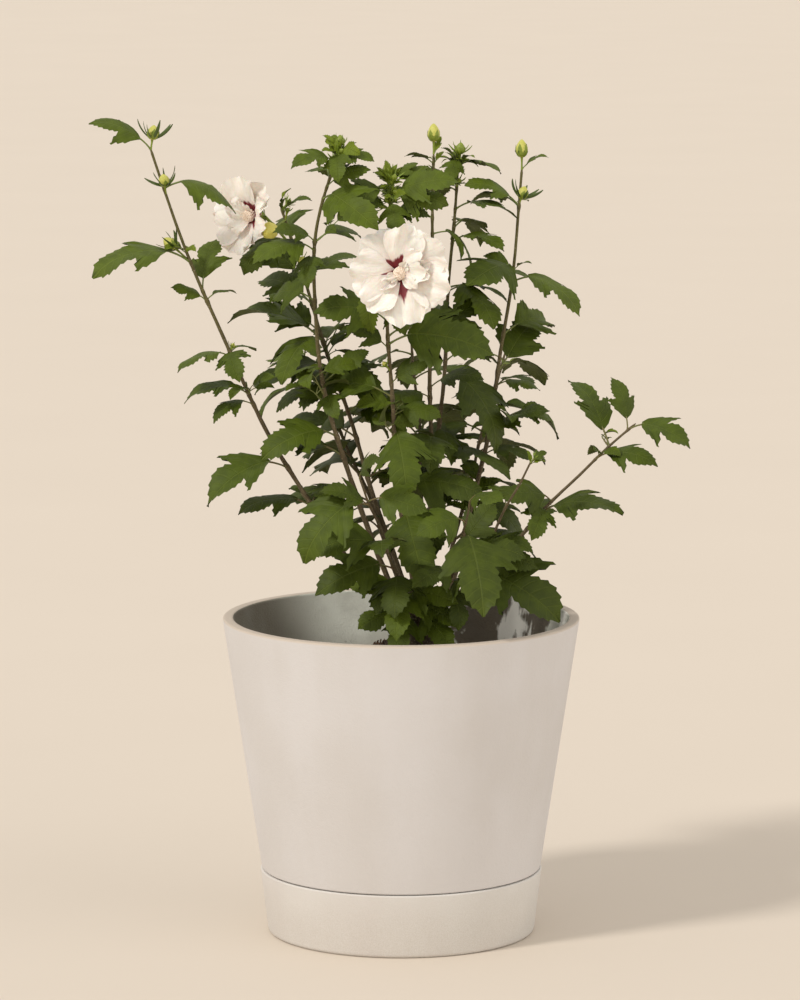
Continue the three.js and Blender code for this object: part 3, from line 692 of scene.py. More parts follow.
# %% The planting plan
# Each leaf: share of the stem, how far its tip lies from its blade's foot in X, Y and Z, and its roll.
# Each bud: share of the stem, direction, pitch, length, then its stalk where that isn't the usual one.
# fill: how many leaves the seeded rule adds, the direction they favour, their spread, and their lengths.
SHOOTS = [
    {
        "name": "far_left", "foot": ("outerRing", 185), "bend": (-120, -20, 391),
        "tip": (-206, -30, 662), "leaf_from": 0.2,
        "leaves": [
            (0.34, -48, -18, -12, 6), (0.345, 8, 12, 12, 0), (0.43, -50, -28, -34, -10),
            (0.56, -27, -14, -15, 2), (0.58, -44, -16, -8, 8), (0.65, -35, -22, -15, 8),
            (0.655, 1, -30, -22, 0), (0.66, 18, 16, -5, 0), (0.75, -24, -8, 7, 14),
            (0.755, 20, 8, 1, -14), (0.77, 2, 32, 28, 0), (0.82, -66, -18, -18, 12),
            (0.94, 49, -10, -22, -18), (1, -41, -14, 13, 12),
        ],
        "buds": [(0.82, 186, 42, 12, 18), (0.93, 250, 70, 11), (1, 40, 80, 12)],
    },
    {
        "name": "left", "foot": ("innerRing", 160), "bend": (-42, 20, 425),
        "tip": (-101, 50, 608), "leaf_from": 0.3,
        "leaves": [
            (0.53, 40, -30, -16, 0), (0.58, -26, -26, -16, -8), (0.61, -30, -14, -8, 4),
            (0.62, 24, -44, -28, 6), (0.63, -48, -20, -28, -6), (0.66, 18, 10, 18, 0),
            (0.695, -28, -36, -38, -6), (0.685, 20, -6, 2, -14), (0.71, -42, 16, 4, -12),
            (0.69, -68, -14, 12, 6), (0.775, -28, -30, 0, -14), (0.83, -44, 14, 20, 14),
            (0.92, -31, -22, -28, -14), (0.99, 20, -8, 6, -14),
        ],
        "fill": {"count": 7, "faces": 110, "spread": 100, "lengths": (62, 46)},
        "buds": [(0.97, 252, -8, 17, 32)],
        "bloom": {"share": 0.9, "centre": (-122, 32, 602), "faces": (226, 6), "petal": 37},
    },
    {
        "name": "mid_left", "foot": ("outerRing", 222), "bend": (-116, -30, 522),
        "tip": (-50, -50, 661), "leaf_from": 0.24,
        "leaves": [
            (0.345, -42, -36, -24, -18), (0.4, -28, 12, 8, 10), (0.42, 2, -24, -18, 0),
            (0.72, -6, -24, -24, 0), (0.76, 34, 20, -4, 0), (0.76, -26, -18, 2, -6),
            (0.87, 22, -42, -32, 0), (0.9, 26, -20, 6, 6), (0.97, -26, -24, -8, -10),
            (0.985, 22, -10, -8, -8), (0.99, -1, -16, -22, 0),
        ],
        "fill": {"count": 5, "faces": 160, "spread": 100, "lengths": (62, 42)},
        "buds": [(1, 90, 70, 9)],
    },
    {
        "name": "bloom", "foot": ("innerRing", 250), "bend": (-20, -34, 438),
        "tip": (-8, -45, 637), "leaf_from": 0.22,
        "leaves": [
            (0.28, -13, -42, -46, 0), (0.46, 6, -36, -50, 0), (0.5, 30, -14, -8, 0),
            (0.57, 25, -16, 4, 14), (0.655, 62, -36, -22, 4), (0.645, -27, -6, 8, 12),
            (0.705, -46, -26, -4, -10), (0.74, 8, -18, -24, 0), (0.93, 24, -14, -6, 8),
            (0.94, -26, -14, 2, 8), (0.95, 2, -18, -24, 0), (0.96, 32, -20, -16, 10),
            (0.97, -34, -18, -12, -8), (0.99, 30, 10, 2, 6), (1, 20, 8, 8, -10),
        ],
        "fill": {"count": 6, "faces": 90, "spread": 110, "lengths": (62, 48)},
        "buds": [(1, 180, 70, 9)],
        "bloom": {"share": 0.78, "centre": (0, -76, 564), "faces": (262, 8), "petal": 43},
    },
    {
        "name": "centre", "foot": ("innerRing", 340), "bend": (24, 0, 451),
        "tip": (27, 15, 655), "leaf_from": 0.18,
        "leaves": [
            (0.26, -16, -34, -26, 0), (0.3, 28, -24, -14, 10), (0.41, 18, -32, -30, 0),
            (0.5, -26, -22, -14, 0), (0.52, 34, -22, 2, 10), (0.87, -30, -16, -10, -8),
            (0.93, -36, -14, 4, -6), (0.98, -20, -8, 2, 8),
        ],
        "fill": {"count": 7, "faces": 80, "spread": 120, "lengths": (64, 50)},
        "buds": [(1, 90, 84, 15)],
    },
    {
        "name": "mid_right", "foot": ("innerRing", 70), "bend": (33, 30, 447),
        "tip": (48, 50, 646), "leaf_from": 0.3,
        "leaves": [
            (0.38, 54, -24, -14, 10), (0.43, 8, -26, -26, 0), (0.54, 48, -22, -52, 10),
            (0.735, 28, -30, -36, 6), (0.83, 34, -26, -8, 12), (0.87, 22, 8, -8, -14),
            (0.9, 42, -22, -14, 6), (0.95, -30, -12, 4, -4), (0.99, 30, -8, -8, -12),
            (1, -4, -16, -18, 0),
        ],
        "fill": {"count": 7, "faces": 60, "spread": 110, "lengths": (62, 48)},
        "buds": [(1, 300, 75, 10)],
    },
    {
        "name": "right", "foot": ("outerRing", 25), "bend": (87, 30, 433),
        "tip": (101, 40, 640), "leaf_from": 0.3,
        "leaves": [
            (0.4, 26, -22, -12, 12), (0.44, 42, -16, 12, 10), (0.55, 28, -12, -8, 8),
            (0.58, 38, 22, 28, 0), (0.79, -18, -54, -16, 0), (0.77, 46, -18, -29, 2),
            (0.925, -36, -16, 13, -4), (1, 18, -4, 7, -10),
        ],
        "fill": {"count": 5, "faces": 100, "spread": 70, "lengths": (56, 36)},
        "buds": [(1, 90, 84, 15), (0.93, 350, 72, 11, 5)],
    },
    {
        "name": "far_right", "foot": ("outerRing", 352), "bend": (117, -20, 368),
        "tip": (193, -50, 437), "leaf_from": 0.34,
        "leaves": [
            (0.44, 24, 26, 12, 0), (0.5, 58, -26, 4, 10), (0.53, -4, -24, -24, 0),
            (0.57, -30, -30, -4, -12), (0.79, 38, -24, -10, 8), (0.865, -28, 22, 42, 0),
            (0.96, -4, 14, 34, 0), (0.97, 36, -20, -21, 8),
        ],
    },
    {
        "name": "low_right", "foot": ("outerRing", 322), "bend": (74, -40, 339),
        "tip": (106, -80, 409), "leaf_from": 0.27,
        "leaves": [
            (0.31, 50, -38, -42, 10), (0.37, 40, -22, -4, 4), (0.5, 26, -20, -12, 6),
            (0.72, 10, 26, 14, 0), (1, 12, -2, 4, 0),
        ],
    },
    {
        "name": "front", "foot": ("outerRing", 255), "bend": (-10, -60, 330),
        "tip": (-34, -96, 398), "leaf_from": 0.3,
        "leaves": [
            (0.33, -16, -26, -22, 0), (0.36, 6, -40, -22, 0), (0.42, -43, -28, -32, -6),
            (0.54, -46, -26, -8, -8), (0.8, -32, -22, 6, 6), (0.83, -37, -22, -50, 0),
            (1, 6, -24, 10, 0),
        ],
        "fill": {"count": 2, "faces": 260, "spread": 90, "lengths": (50, 46)},
    },
    {
        "name": "front_right", "foot": ("outerRing", 290), "bend": (48, -56, 318),
        "tip": (56, -100, 380), "leaf_from": 0.3,
        "leaves": [
            (0.34, 8, -20, -30, 0), (0.46, -20, -34, -14, 4), (0.6, 42, -22, -10, 8),
            (0.66, 30, -12, 20, 0), (0.74, 10, -38, -62, 0), (1, 16, -30, -4, 0),
        ],
        "fill": {"count": 3, "faces": 320, "spread": 90, "lengths": (48, 46)},
    },
    {
        "name": "basal", "foot": ("outerRing", 275), "bend": (14, -26, 268),
        "tip": (2, -42, 292), "leaf_from": 0.4,
        "leaves": [
            (0.48, -14, -26, -28, 0), (0.5, 18, -28, -26, 0), (0.6, -32, -16, -20, 0),
            (0.72, 34, -18, -14, 0), (0.98, -6, -36, -32, 0), (1, 36, -20, -8, 8),
            (1, -36, -12, -4, -8),
        ],
    },
    {
        "name": "back_left", "foot": ("outerRing", 135), "bend": (-34, 60, 396),
        "tip": (-88, 118, 480), "leaf_from": 0.24,
        "fill": {"count": 14, "faces": 120, "spread": 130, "lengths": (66, 48)},
    },
    {
        "name": "back_centre", "foot": ("outerRing", 95), "bend": (20, 70, 400),
        "tip": (6, 130, 510), "leaf_from": 0.24,
        "fill": {"count": 14, "faces": 90, "spread": 130, "lengths": (66, 48)},
    },
    {
        "name": "back_right", "foot": ("outerRing", 60), "bend": (60, 56, 386),
        "tip": (90, 116, 480), "leaf_from": 0.24,
        "fill": {"count": 13, "faces": 60, "spread": 130, "lengths": (66, 48)},
    },
]
planned = sum(len(shoot.get("leaves", [])) for shoot in SHOOTS)
print(len(SHOOTS), "shoots,", planned, "planned leaves")

# %% [markdown]
# ## Stems with bark
#
# A stem is a curve with three guides, so a place on it is one sum. Its tube gets its relief corner
# by corner: long shallow ridges, a swelling at each leaf's node, where the wood thickens, and a
# wider foot. A curve with a bevel would be quicker to make, but its bark would be only a bump in
# the finish, and the outline of the wood would stay smooth.

# %% Curves and tubes
RINGS = {"outerRing": 11.4, "innerRing": 4.4}
CROWN_HEIGHT = 16
CROWN_FLARE, CROWN_TOP = 19, 16
STEM_FOOT, STEM_TIP = 2.7, 1.1


def heading(azimuth, pitch):
    """The direction at an angle round Z from +X, and at a pitch above level."""
    a, p = math.radians(azimuth), math.radians(pitch)
    return np.array([math.cos(p) * math.cos(a), math.cos(p) * math.sin(a), math.sin(p)])


def unit(vector):
    """A vector, or each of some, drawn to a length of 1."""
    vector = np.asarray(vector, float)
    return vector / np.linalg.norm(vector, axis=-1, keepdims=True)


def chance(shoot, leaf, purpose):
    """A number from 0 to 1 that depends only on the shoot, the leaf and what it is for."""
    x = math.sin(shoot * 127.1 + leaf * 311.7 + purpose * 74.7) * 43758.5453
    return x - math.floor(x)


class Stem:
    """The curve of one shoot, and how thick it is at a share of the way along."""

    def __init__(self, shoot):
        ring, azimuth = shoot["foot"]
        self.foot = FOOT + RINGS[ring] * heading(azimuth, 0) + [0, 0, CROWN_HEIGHT / 2]
        self.bend, self.tip = np.array(shoot["bend"], float), np.array(shoot["tip"], float)
        steps = self.at(np.linspace(0, 1, 201))
        self.length = np.linalg.norm(np.diff(steps, axis=0), axis=1).sum()
        self.vigour = lerp(0.82, 1.12, float(smooth(self.length, 150, 420)))

    def at(self, share):
        t = np.asarray(share, float)[..., None]
        return (1 - t) ** 2 * self.foot + 2 * t * (1 - t) * self.bend + t**2 * self.tip

    def radius(self, share):
        return self.vigour * lerp(STEM_FOOT, STEM_TIP, share**0.8)


def tube(heap, path, radii, sides, tint, run=0.0):
    """A closed tube along a path. radii may give each ring one radius, or one for each of its sides."""
    path = np.asarray(path, float)
    radii = np.broadcast_to(np.reshape(radii, (len(path), -1)), (len(path), sides))
    along = unit(np.gradient(path, axis=0))
    across = unit(np.cross([0.31, 0.17, 0.11], along[0]))
    frames = []
    for way in along:
        across = unit(across - way * (across @ way))
        frames.append((across, np.cross(way, across)))
    frames = np.array(frames)
    angle = 2 * math.pi * np.arange(sides) / sides
    out = frames[:, :1] * np.cos(angle)[:, None] + frames[:, 1:] * np.sin(angle)[:, None]
    corners = path[:, None] + out * radii[..., None]
    reach = run + np.concatenate([[0], np.cumsum(np.linalg.norm(np.diff(path, axis=0), axis=1))])
    round_half = np.abs(2 * np.arange(sides) / sides - 1)
    strips = np.stack(np.broadcast_arrays(round_half, reach[:, None] * MM), -1)
    last = (len(path) - 1) * sides
    ends = [list(range(sides))[::-1], list(range(last, last + sides))]
    heap.add(corners, strips, grid(len(path), sides, closed=True) + ends, tint)


stems = [Stem(shoot) for shoot in SHOOTS]
print("the longest stem is", round(max(stem.length for stem in stems)), "mm long")

# %% [markdown]
# ## Which leaves grew
#
# The plan and the seeded rule say where leaves are wanted, but each one grew only where no other
# stood, turning aside a little where it had to. To follow every leaf exactly, each is tried in the
# same turns, and the one whose blade is really there in the solid of its shoot is taken. A search
# tree of the solid's faces makes that test quick.

# %% The rule for leaves
DROOP = 50  # degrees that a blade bends down along its length
BEND = math.radians(DROOP)
CHORD = math.sin(BEND / 2) / (BEND / 2)
PETIOLE = 0.24
LOBED_FROM = 38
GOLDEN_ANGLE = 137.5
STALK_RISE = 50  # degrees that a leaf's stalk rises before the blade draws it down
LIGHT_UP, LIGHT_OUT, LIGHT_FRONT = 0.8, 0.4, 0.36
ON_SOLID = 0.8
# How far a leaf may have turned aside and up, in degrees, in the order that they are tried.
TURNS = [(0, 0), (14, 8), (-14, -8), (28, -12), (-28, 12), (44, 4), (-44, -4)]


def wanted_leaves(shoot, number):
    """The leaves of a shoot's plan, then those that the rule spreads up the stem."""
    leaves = []
    for share, x, y, z, roll in shoot.get("leaves", []):
        azimuth = math.degrees(math.atan2(y, x))
        pitch = math.degrees(math.atan2(z, math.hypot(x, y)))
        leaves.append((share, azimuth, pitch, math.hypot(x, y, z) / CHORD, roll))
    fill = shoot.get("fill")
    for i in range(fill["count"] if fill else 0):
        height = (i + 0.2 + 0.6 * chance(number, i, 1)) / fill["count"]
        around = ((i * GOLDEN_ANGLE + 360 * chance(number, 0, 2)) % 360) / 180 - 1
        leaves.append((
            lerp(shoot["leaf_from"] + 0.03, 0.99, height),
            fill["faces"] + around * fill["spread"],
            lerp(-36, 12, chance(number, i, 3)),
            lerp(*fill["lengths"], height) * lerp(0.78, 1.1, chance(number, i, 4)),
            lerp(-22, 22, chance(number, i, 6)),
        ))
    return leaves


class Blade:
    """The space of one leaf's blade: its foot, the way it points, its left and its upper side."""

    def __init__(self, start, azimuth, pitch, length, roll, reach):
        pitch += DROOP / 2
        self.start, self.length = start, length
        self.foot = start + heading(azimuth, (pitch + STALK_RISE) / 2) * reach
        self.along = heading(azimuth, pitch)
        outwards = self.foot[:2] - FOOT[:2]
        light = np.array([*(LIGHT_OUT * unit(outwards)), 0]) + [0, -LIGHT_FRONT, LIGHT_UP]
        left = unit(np.cross(light, self.along))
        turn = math.radians(roll)
        self.left = left * math.cos(turn) + np.cross(self.along, left) * math.sin(turn)
        self.up = np.cross(self.along, self.left)

    def at(self, u, v, w=0.0, bend=BEND):
        """The place that is u along, v to the left and w above the blade, in shares of its length."""
        u, v, w = [np.asarray(x, float)[..., None] for x in (u, v, w)]
        turn = bend * u
        middle = np.sin(turn) / bend * self.along + (np.cos(turn) - 1) / bend * self.up
        rise = np.cos(turn) * self.up + np.sin(turn) * self.along
        return self.foot + self.length * (middle + v * self.left + w * rise)


def solid_tree(node):
    """A search tree of a solid's faces, in metres."""
    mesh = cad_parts[node].data
    return BVHTree.FromPolygons([v.co for v in mesh.vertices], [f.vertices for f in mesh.polygons])


def grown_leaves(shoot, number):
    """The leaves of a shoot that its solid really has, each with its blade's space."""
    solid, stem, grown = solid_tree(shoot["name"] + "_shoot"), stems[number], []
    for share, azimuth, pitch, length, roll in wanted_leaves(shoot, number):
        reach = PETIOLE * length + stem.radius(share)
        row, half = (0.35, 0.2) if length < LOBED_FROM else (0.42, 0.3)
        for aside, lift in TURNS:
            blade = Blade(stem.at(share), azimuth + aside, pitch + lift, length, roll, reach)
            probes = blade.at([row, row, row, 1], [-half, 0, half, 0]) * MM
            if all(solid.find_nearest(Vector(probe))[3] < ON_SOLID * MM for probe in probes):
                grown.append((share, azimuth + aside, pitch + lift, blade))
                break
    return grown


leaves_of = [grown_leaves(shoot, number) for number, shoot in enumerate(SHOOTS)]
print("leaves that grew on each shoot:", [len(leaves) for leaves in leaves_of])

# %% [markdown]
# ## The bark's finish
#
# A young hibiscus stem is dark brown and rough where it leaves the soil, grey-brown halfway up, and
# green at its tip, where the bark hasn't formed yet. Height on the object drives that change. Long
# streaks and small pale pores follow the stem by its strip coordinates.

# %% The bark's finish
def bark_finish():
    finish = Finish("bark")
    across, along = finish.strip()
    _, _, height = finish.split(finish.place())
    clouds = finish.noise(70, 3)
    on_stem = finish.node("ShaderNodeCombineXYZ", {0: across * 0.02, 1: along, 2: height * 0.3})
    streaks = finish.noise(900, 4, stretch=(1, 0.09, 1), of=on_stem)
    pores = finish.rise(finish.noise(520, 1, stretch=(1, 1, 1.6)), 0.64, 0.70)
    # The heights between which dark wood turns grey-brown, and that turns green, are in metres.
    level = height + clouds * 0.09
    wood = finish.blend(finish.rise(level, 0.25, 0.34), paint(60, 47, 32), paint(109, 95, 66))
    wood = finish.blend(finish.rise(level, 0.48, 0.62), wood, paint(104, 99, 52))
    wood = finish.blend(finish.rise(streaks, 0.42, 0.62) * 0.55, wood, paint(58, 46, 32))
    wood = finish.blend(pores * 0.6, wood, paint(160, 146, 120))
    return finish.set(
        base_color=wood,
        roughness=0.66 + streaks * 0.22,
        normal=finish.bump(streaks * 0.7 + pores * 0.3, 0.0005),
    )


bark = bark_finish()

# %% [markdown]
# ## The stems and the root crown
#
# The stems thicken a little at every node, because wood is laid down where a leaf's stalk joins,
# and they widen at their foot. The root crown is a short cut stump, fluted below each stem.
# Sculpting would give bark as well, but fractal noise on the corners of a tube is the same each
# time and can be as fine as the mesh allows.

# %% The stems and the root crown
STEM_SIDES = 12
RING_STEP = 2.6
NODE_SWELL, NODE_REACH = 0.3, 2.2
FOOT_SWELL, FOOT_REACH = 0.35, 14
SLIM = 0.86  # the stems' share of the solids' thickness, which leaves room for the bark's relief
SWAY = 1.1


def sway(number, share):
    """A slight waver of a stem, which is still at its foot and its tip."""
    wave = SWAY * np.sin(math.pi * share)
    phase = 6.28 * chance(number, 3, 21)
    return np.stack([wave * np.sin(share * 17 + phase), wave * np.cos(share * 13 + 2 * phase), 0 * wave], -1)


def stem_tube(heap, number):
    """One stem from its foot to its tip, with ridged bark and a swelling at each leaf's node."""
    stem, leaves = stems[number], leaves_of[number]
    rings = int(stem.length / RING_STEP)
    share = np.linspace(0, 1, rings)
    path = stem.at(share) + sway(number, share)
    radius = SLIM * np.array([stem.radius(s) for s in share])
    for node_share, *_ in leaves:
        away = (share - node_share) * stem.length
        radius = radius * (1 + NODE_SWELL * np.exp(-((away / NODE_REACH) ** 2)))
    radius = radius * (1 + FOOT_SWELL * np.exp(-share * stem.length / FOOT_REACH))
    radius[-1] *= 0.45
    path[-1] += 0.8 * unit(path[-1] - path[-2])
    rough = lerp(0.10, 0.03, share)
    round_stem = [1.9 * heading(360 * k / STEM_SIDES, 0) for k in range(STEM_SIDES)]
    ridges = np.array([
        [noise.noise(Vector(way + [0, 9 * number, s / 9])) for way in round_stem]
        for s in share * stem.length
    ])
    relief = radius[:, None] * (1 + 2 * rough[:, None] * ridges)
    tube(heap, path, relief, STEM_SIDES, 0, run=1000 * number)


def root_crown(heap):
    """The woody foot, fluted under each stem, with a rough cut top."""
    sides, rows = 96, 26
    angle = 2 * math.pi * np.arange(sides) / sides
    flutes = np.zeros(sides)
    for shoot in SHOOTS:
        ring, azimuth = shoot["foot"]
        apart = (angle - math.radians(azimuth) + math.pi) % (2 * math.pi) - math.pi
        flutes += RINGS[ring] / RINGS["outerRing"] * np.exp(-((apart / 0.16) ** 2))
    flutes = np.clip(flutes, 0, 1.2) - 0.4
    path, radii = [], []
    for row in range(rows):
        t = row / (rows - 1)
        height = CROWN_HEIGHT * math.sin(t * math.pi / 2) ** 0.9
        wide = lerp(CROWN_FLARE, CROWN_TOP, smooth(t, 0, 0.35)) * math.sqrt(max(1 - (t / 1.02) ** 5, 0.02))
        bark_noise = np.array([
            noise.fractal(Vector((3 * math.cos(a), 3 * math.sin(a), height / 4)), 0.9, 2.1, 4) for a in angle
        ])
        path.append(FOOT + [0, 0, height - 0.7])
        radii.append(wide * (1 + 0.05 * flutes * (1 - 0.4 * t) + 0.05 * bark_noise))
    tube(heap, path, radii, sides, 0)


wood = Heap()
root_crown(wood)
for number in range(len(SHOOTS)):
    stem_tube(wood, number)
wood.piece("stems", [bark], ["root_crown"] + [shoot["name"] + "_bough" for shoot in SHOOTS], "bark")

# %% [markdown]
# ## The shape of a leaf
#
# The leaf of this hibiscus is a wedge at its foot and has three lobes, of which the middle one is
# long, all cut into coarse teeth. The blade is a grid whose rows slant forwards from the midrib
# like its side veins, so each tooth is one row that reaches further out than the next. The teeth
# are a rule: every other row of the toothed part stands out. Modelling one leaf and copying it
# would show at once, so every leaf gets its own lobes, fold, waves and curl.

# %% A shell from a grid
def shell_faces(rows, columns):
    """The faces of a closed shell of two grids that share their margin, upper faces first."""
    def lower(r, c):
        inner = 0 < r < rows - 1 and 0 < c < columns - 1
        return rows * columns + (r - 1) * (columns - 2) + c - 1 if inner else r * columns + c

    under = [
        [lower(r, c), lower(r + 1, c), lower(r + 1, c + 1), lower(r, c + 1)]
        for r in range(rows - 1)
        for c in range(columns - 1)
    ]
    return grid(rows, columns), under


SHELLS = {}


def shell(heap, upper, lower, strips, tint, under_tint):
    """Adds a closed shell. The lower grid's margin is left out, as it shares the upper one's."""
    rows, columns = upper.shape[:2]
    if (rows, columns) not in SHELLS:
        SHELLS[rows, columns] = shell_faces(rows, columns)
    above, below = SHELLS[rows, columns]
    inner = lower[1:-1, 1:-1].reshape(-1, 3)
    before = len(heap.tints)
    heap.add(
        np.concatenate([upper.reshape(-1, 3), inner]),
        np.concatenate([strips.reshape(-1, 2), strips[1:-1, 1:-1].reshape(-1, 2)]),
        above + below,
        tint,
    )
    heap.tints[before + len(above) :] = [under_tint] * len(below)

# %% The outline of a blade
# Rows of a blade from foot to tip, in shares of its length: where the row leaves the midrib, how far
# along it ends at the margin, and the half width there.
LOBED = np.array([
    (0, 0, 0.012), (0.02, 0.07, 0.12), (0.05, 0.17, 0.22), (0.085, 0.29, 0.30), (0.12, 0.41, 0.345),
    (0.15, 0.53, 0.40), (0.23, 0.50, 0.285), (0.36, 0.44, 0.15), (0.45, 0.54, 0.18), (0.53, 0.63, 0.20),
    (0.62, 0.73, 0.18), (0.73, 0.82, 0.135), (0.85, 0.90, 0.075), (1, 1, 0.004),
])
PLAIN = np.array([
    (0, 0, 0.012), (0.03, 0.08, 0.10), (0.08, 0.17, 0.18), (0.14, 0.27, 0.235), (0.20, 0.35, 0.26),
    (0.27, 0.42, 0.27), (0.34, 0.48, 0.265), (0.41, 0.54, 0.25), (0.48, 0.60, 0.225), (0.56, 0.67, 0.19),
    (0.65, 0.75, 0.15), (0.75, 0.83, 0.105), (0.86, 0.91, 0.055), (1, 1, 0.004),
])
FIRST_TOOTH = 2  # the rows below it have an even margin


def half_outline(lobing, width, tooth):
    """The rows of half a blade. Between two rows of its toothed part, one more row stands out as a tooth."""
    rows = lerp(PLAIN, LOBED, lobing) * [1, 1, width]
    cut = []
    for k, (row, following) in enumerate(zip(rows, rows[1:])):
        cut.append(row)
        if FIRST_TOOTH <= k < len(rows) - 2:
            run = (following - row)[1:]
            out = np.array([-run[1], run[0]]) / np.linalg.norm(run)
            out = -out if out[1] < 0 else out
            middle = (row + following) / 2
            middle[1:] += tooth * out + 0.25 * run * np.sign(run[0])
            cut.append(middle)
    return np.array([*cut, rows[-1]])


def row_grid(rows, halves):
    """The places along and across a half blade of the corners in each of its rows."""
    side = np.linspace(0, 1, halves + 1)
    even = np.convolve(np.pad(rows[:, 2], 1, "edge"), [0.25, 0.5, 0.25], "valid")
    wide = np.where(side < 1, even[:, None] * side, rows[:, 2:])
    return rows[:, :1] + (rows[:, 1:2] - rows[:, :1]) * side**1.25, wide

# %% The surface of a blade
def leaf(heap, blade, seed, tint, under_tint, small=False, fold=None, slim=1.0):
    """One toothed leaf on a blade's space. seed is a pair of numbers for the seeded rule."""
    vary = [chance(*seed, purpose) for purpose in range(30, 50)]
    halves = 1 if small else 2
    lobing = lerp(0.1, 0.75, vary[0]) if small else lerp(0.72, 1.12, vary[0])
    width, tooth = slim * lerp(0.96, 1.22, vary[1]), lerp(0.024, 0.042, vary[2])
    # The two halves of a leaf are never quite alike.
    one = half_outline(lobing + lerp(-0.15, 0.15, vary[13]), width, tooth)
    other = half_outline(lobing + lerp(-0.15, 0.15, vary[14]), width * lerp(0.92, 1.08, vary[15]), tooth)
    (along_one, wide_one), (along_other, wide_other) = row_grid(one, halves), row_grid(other, halves)
    t = (one[:, :1] + other[:, :1]) / 2
    along_one[:, 0] = along_other[:, 0] = t[:, 0]
    u = np.concatenate([along_one[:, :0:-1], along_other], 1)
    v = np.concatenate([wide_one[:, :0:-1], -wide_other], 1)
    s = np.linspace(1, -1, 2 * halves + 1)[None]
    strips = np.stack([v + 0.5, t + 0 * v], -1)
    # The halves fold up a little, the margin waves, the side lobes sag, the tip curls and the midrib leans.
    fold = lerp(0.05, 0.42, vary[3]) if fold is None else fold
    rise = fold * np.abs(v) - lerp(0.4, 1.3, vary[4]) * v**2
    waves = np.sin(u * lerp(7, 12, vary[6]) + np.sign(s) * 2 + 6.3 * vary[7])
    rise += lerp(0.010, 0.035, vary[5]) * s**2 * waves
    rise -= lerp(0.0, 0.5, vary[8]) * np.clip(u - 0.6, 0, None) ** 2
    lean = lerp(-0.10, 0.10, vary[10]) * u**2
    twist = lerp(-0.4, 0.4, vary[11]) * u**2
    bend = BEND * lerp(0.85, 1.25, vary[12])
    across, above = v * np.cos(twist) + lean, rise + v * np.sin(twist)
    upper = blade.at(u, across, above, bend)
    # The underside lies close below, and deeper along the midrib.
    rib = np.exp(-((v / 0.02) ** 2)) * (1 - t) ** 0.7
    lower = blade.at(u, across, above - 0.0035 - 0.012 * rib, bend)
    shell(heap, upper, lower, strips, tint, under_tint)


def petiole(heap, stem_point, blade, tint, thick):
    """The stalk of a leaf, from inside the stem, with a swelling at both ends."""
    foot = blade.foot + 0.05 * blade.length * blade.along - 0.3 * thick * blade.up
    middle = (stem_point + foot) / 2 + 0.10 * np.linalg.norm(foot - stem_point) * blade.up
    t = np.linspace(0, 1, 8)[:, None]
    path = (1 - t) ** 2 * stem_point + 2 * t * (1 - t) * middle + t**2 * foot
    swell = 1 + 0.5 * np.exp(-((t[:, 0] / 0.16) ** 2)) + 0.25 * np.exp(-(((t[:, 0] - 1) / 0.2) ** 2))
    tube(heap, path, thick * swell * [1, 1, 1, 1, 1, 1, 0.9, 0.5], 6, tint)

# %% [markdown]
# ## The finish of leaves
#
# A leaf is matt and mid green above, with a fine net of paler veins, and greyer beneath. Old leaves
# low on the plant are the deepest green and young ones at the tips are bright. Which leaf is old or
# young is a matter of place, so it is dealt out as a few plain tints, leaf by leaf, and only the
# veins and small clouds are drawn by nodes.

# %% The finish of leaves
def leaf_finish(name, green, vein, shade, sheen=0.5):
    finish = Finish(name, specular_ior_level=0.27)
    across, along = finish.strip()
    off_rib = finish.math("ABSOLUTE", across - 0.5)
    clouds = finish.noise(110, 3)
    cells = finish.noise(900, 3)
    rib = finish.rise(off_rib, 0.014, 0.004)
    slant = finish.math("FRACT", along * 9.0 + 0.5)
    side_rib = finish.rise(finish.math("ABSOLUTE", slant - 0.5), 0.10, 0.03)
    side_rib = side_rib * finish.rise(off_rib, 0.34, 0.05)
    veins = finish.math("MAXIMUM", rib, side_rib * 0.55)
    body = finish.blend(finish.rise(clouds, 0.3, 0.7), shade, green)
    body = finish.blend(finish.rise(off_rib, 0.16, 0.4) * 0.35, body, shade)
    return finish.set(
        base_color=finish.blend(veins * 0.4, body, vein),
        roughness=sheen + cells * 0.2,
        normal=finish.bump(cells * 0.35 - veins * 0.65, 0.0006),
    )


GREENS = [
    leaf_finish("leaf_deep", paint(67, 80, 9), paint(88, 100, 30), paint(56, 68, 6)),
    leaf_finish("leaf_full", paint(75, 90, 10), paint(98, 112, 35), paint(64, 78, 7)),
    leaf_finish("leaf_fresh", paint(84, 100, 12), paint(106, 120, 40), paint(72, 86, 9)),
    leaf_finish("leaf_young", paint(116, 132, 24), paint(144, 158, 56), paint(96, 112, 18)),
]
BENEATH = paint(92, 101, 46), paint(116, 124, 66), paint(78, 87, 38)
beneath = leaf_finish("leaf_beneath", *BENEATH, sheen=0.66)


def stalk_finish():
    finish = Finish("green_stalk")
    clouds = finish.noise(160, 3)
    _, _, height = finish.split(finish.place())
    low = finish.blend(finish.rise(clouds, 0.4, 0.6), paint(106, 104, 62), paint(118, 92, 66))
    colour = finish.blend(finish.rise(height, 0.3, 0.6), low, paint(112, 128, 58))
    return finish.set(base_color=colour, roughness=0.5 + clouds * 0.15, normal=finish.bump(clouds, 0.0004))


green_stalk = stalk_finish()
LEAF_TINTS = [*GREENS, beneath, green_stalk]
DEEP, FULL, FRESH, YOUNG, UNDER, STALK = range(len(LEAF_TINTS))
print(len(LEAF_TINTS), "finishes for the foliage")


LOWEST, CROWN_REACH = 290, 380  # the height of the lowest leaves, and how far the crown reaches above them


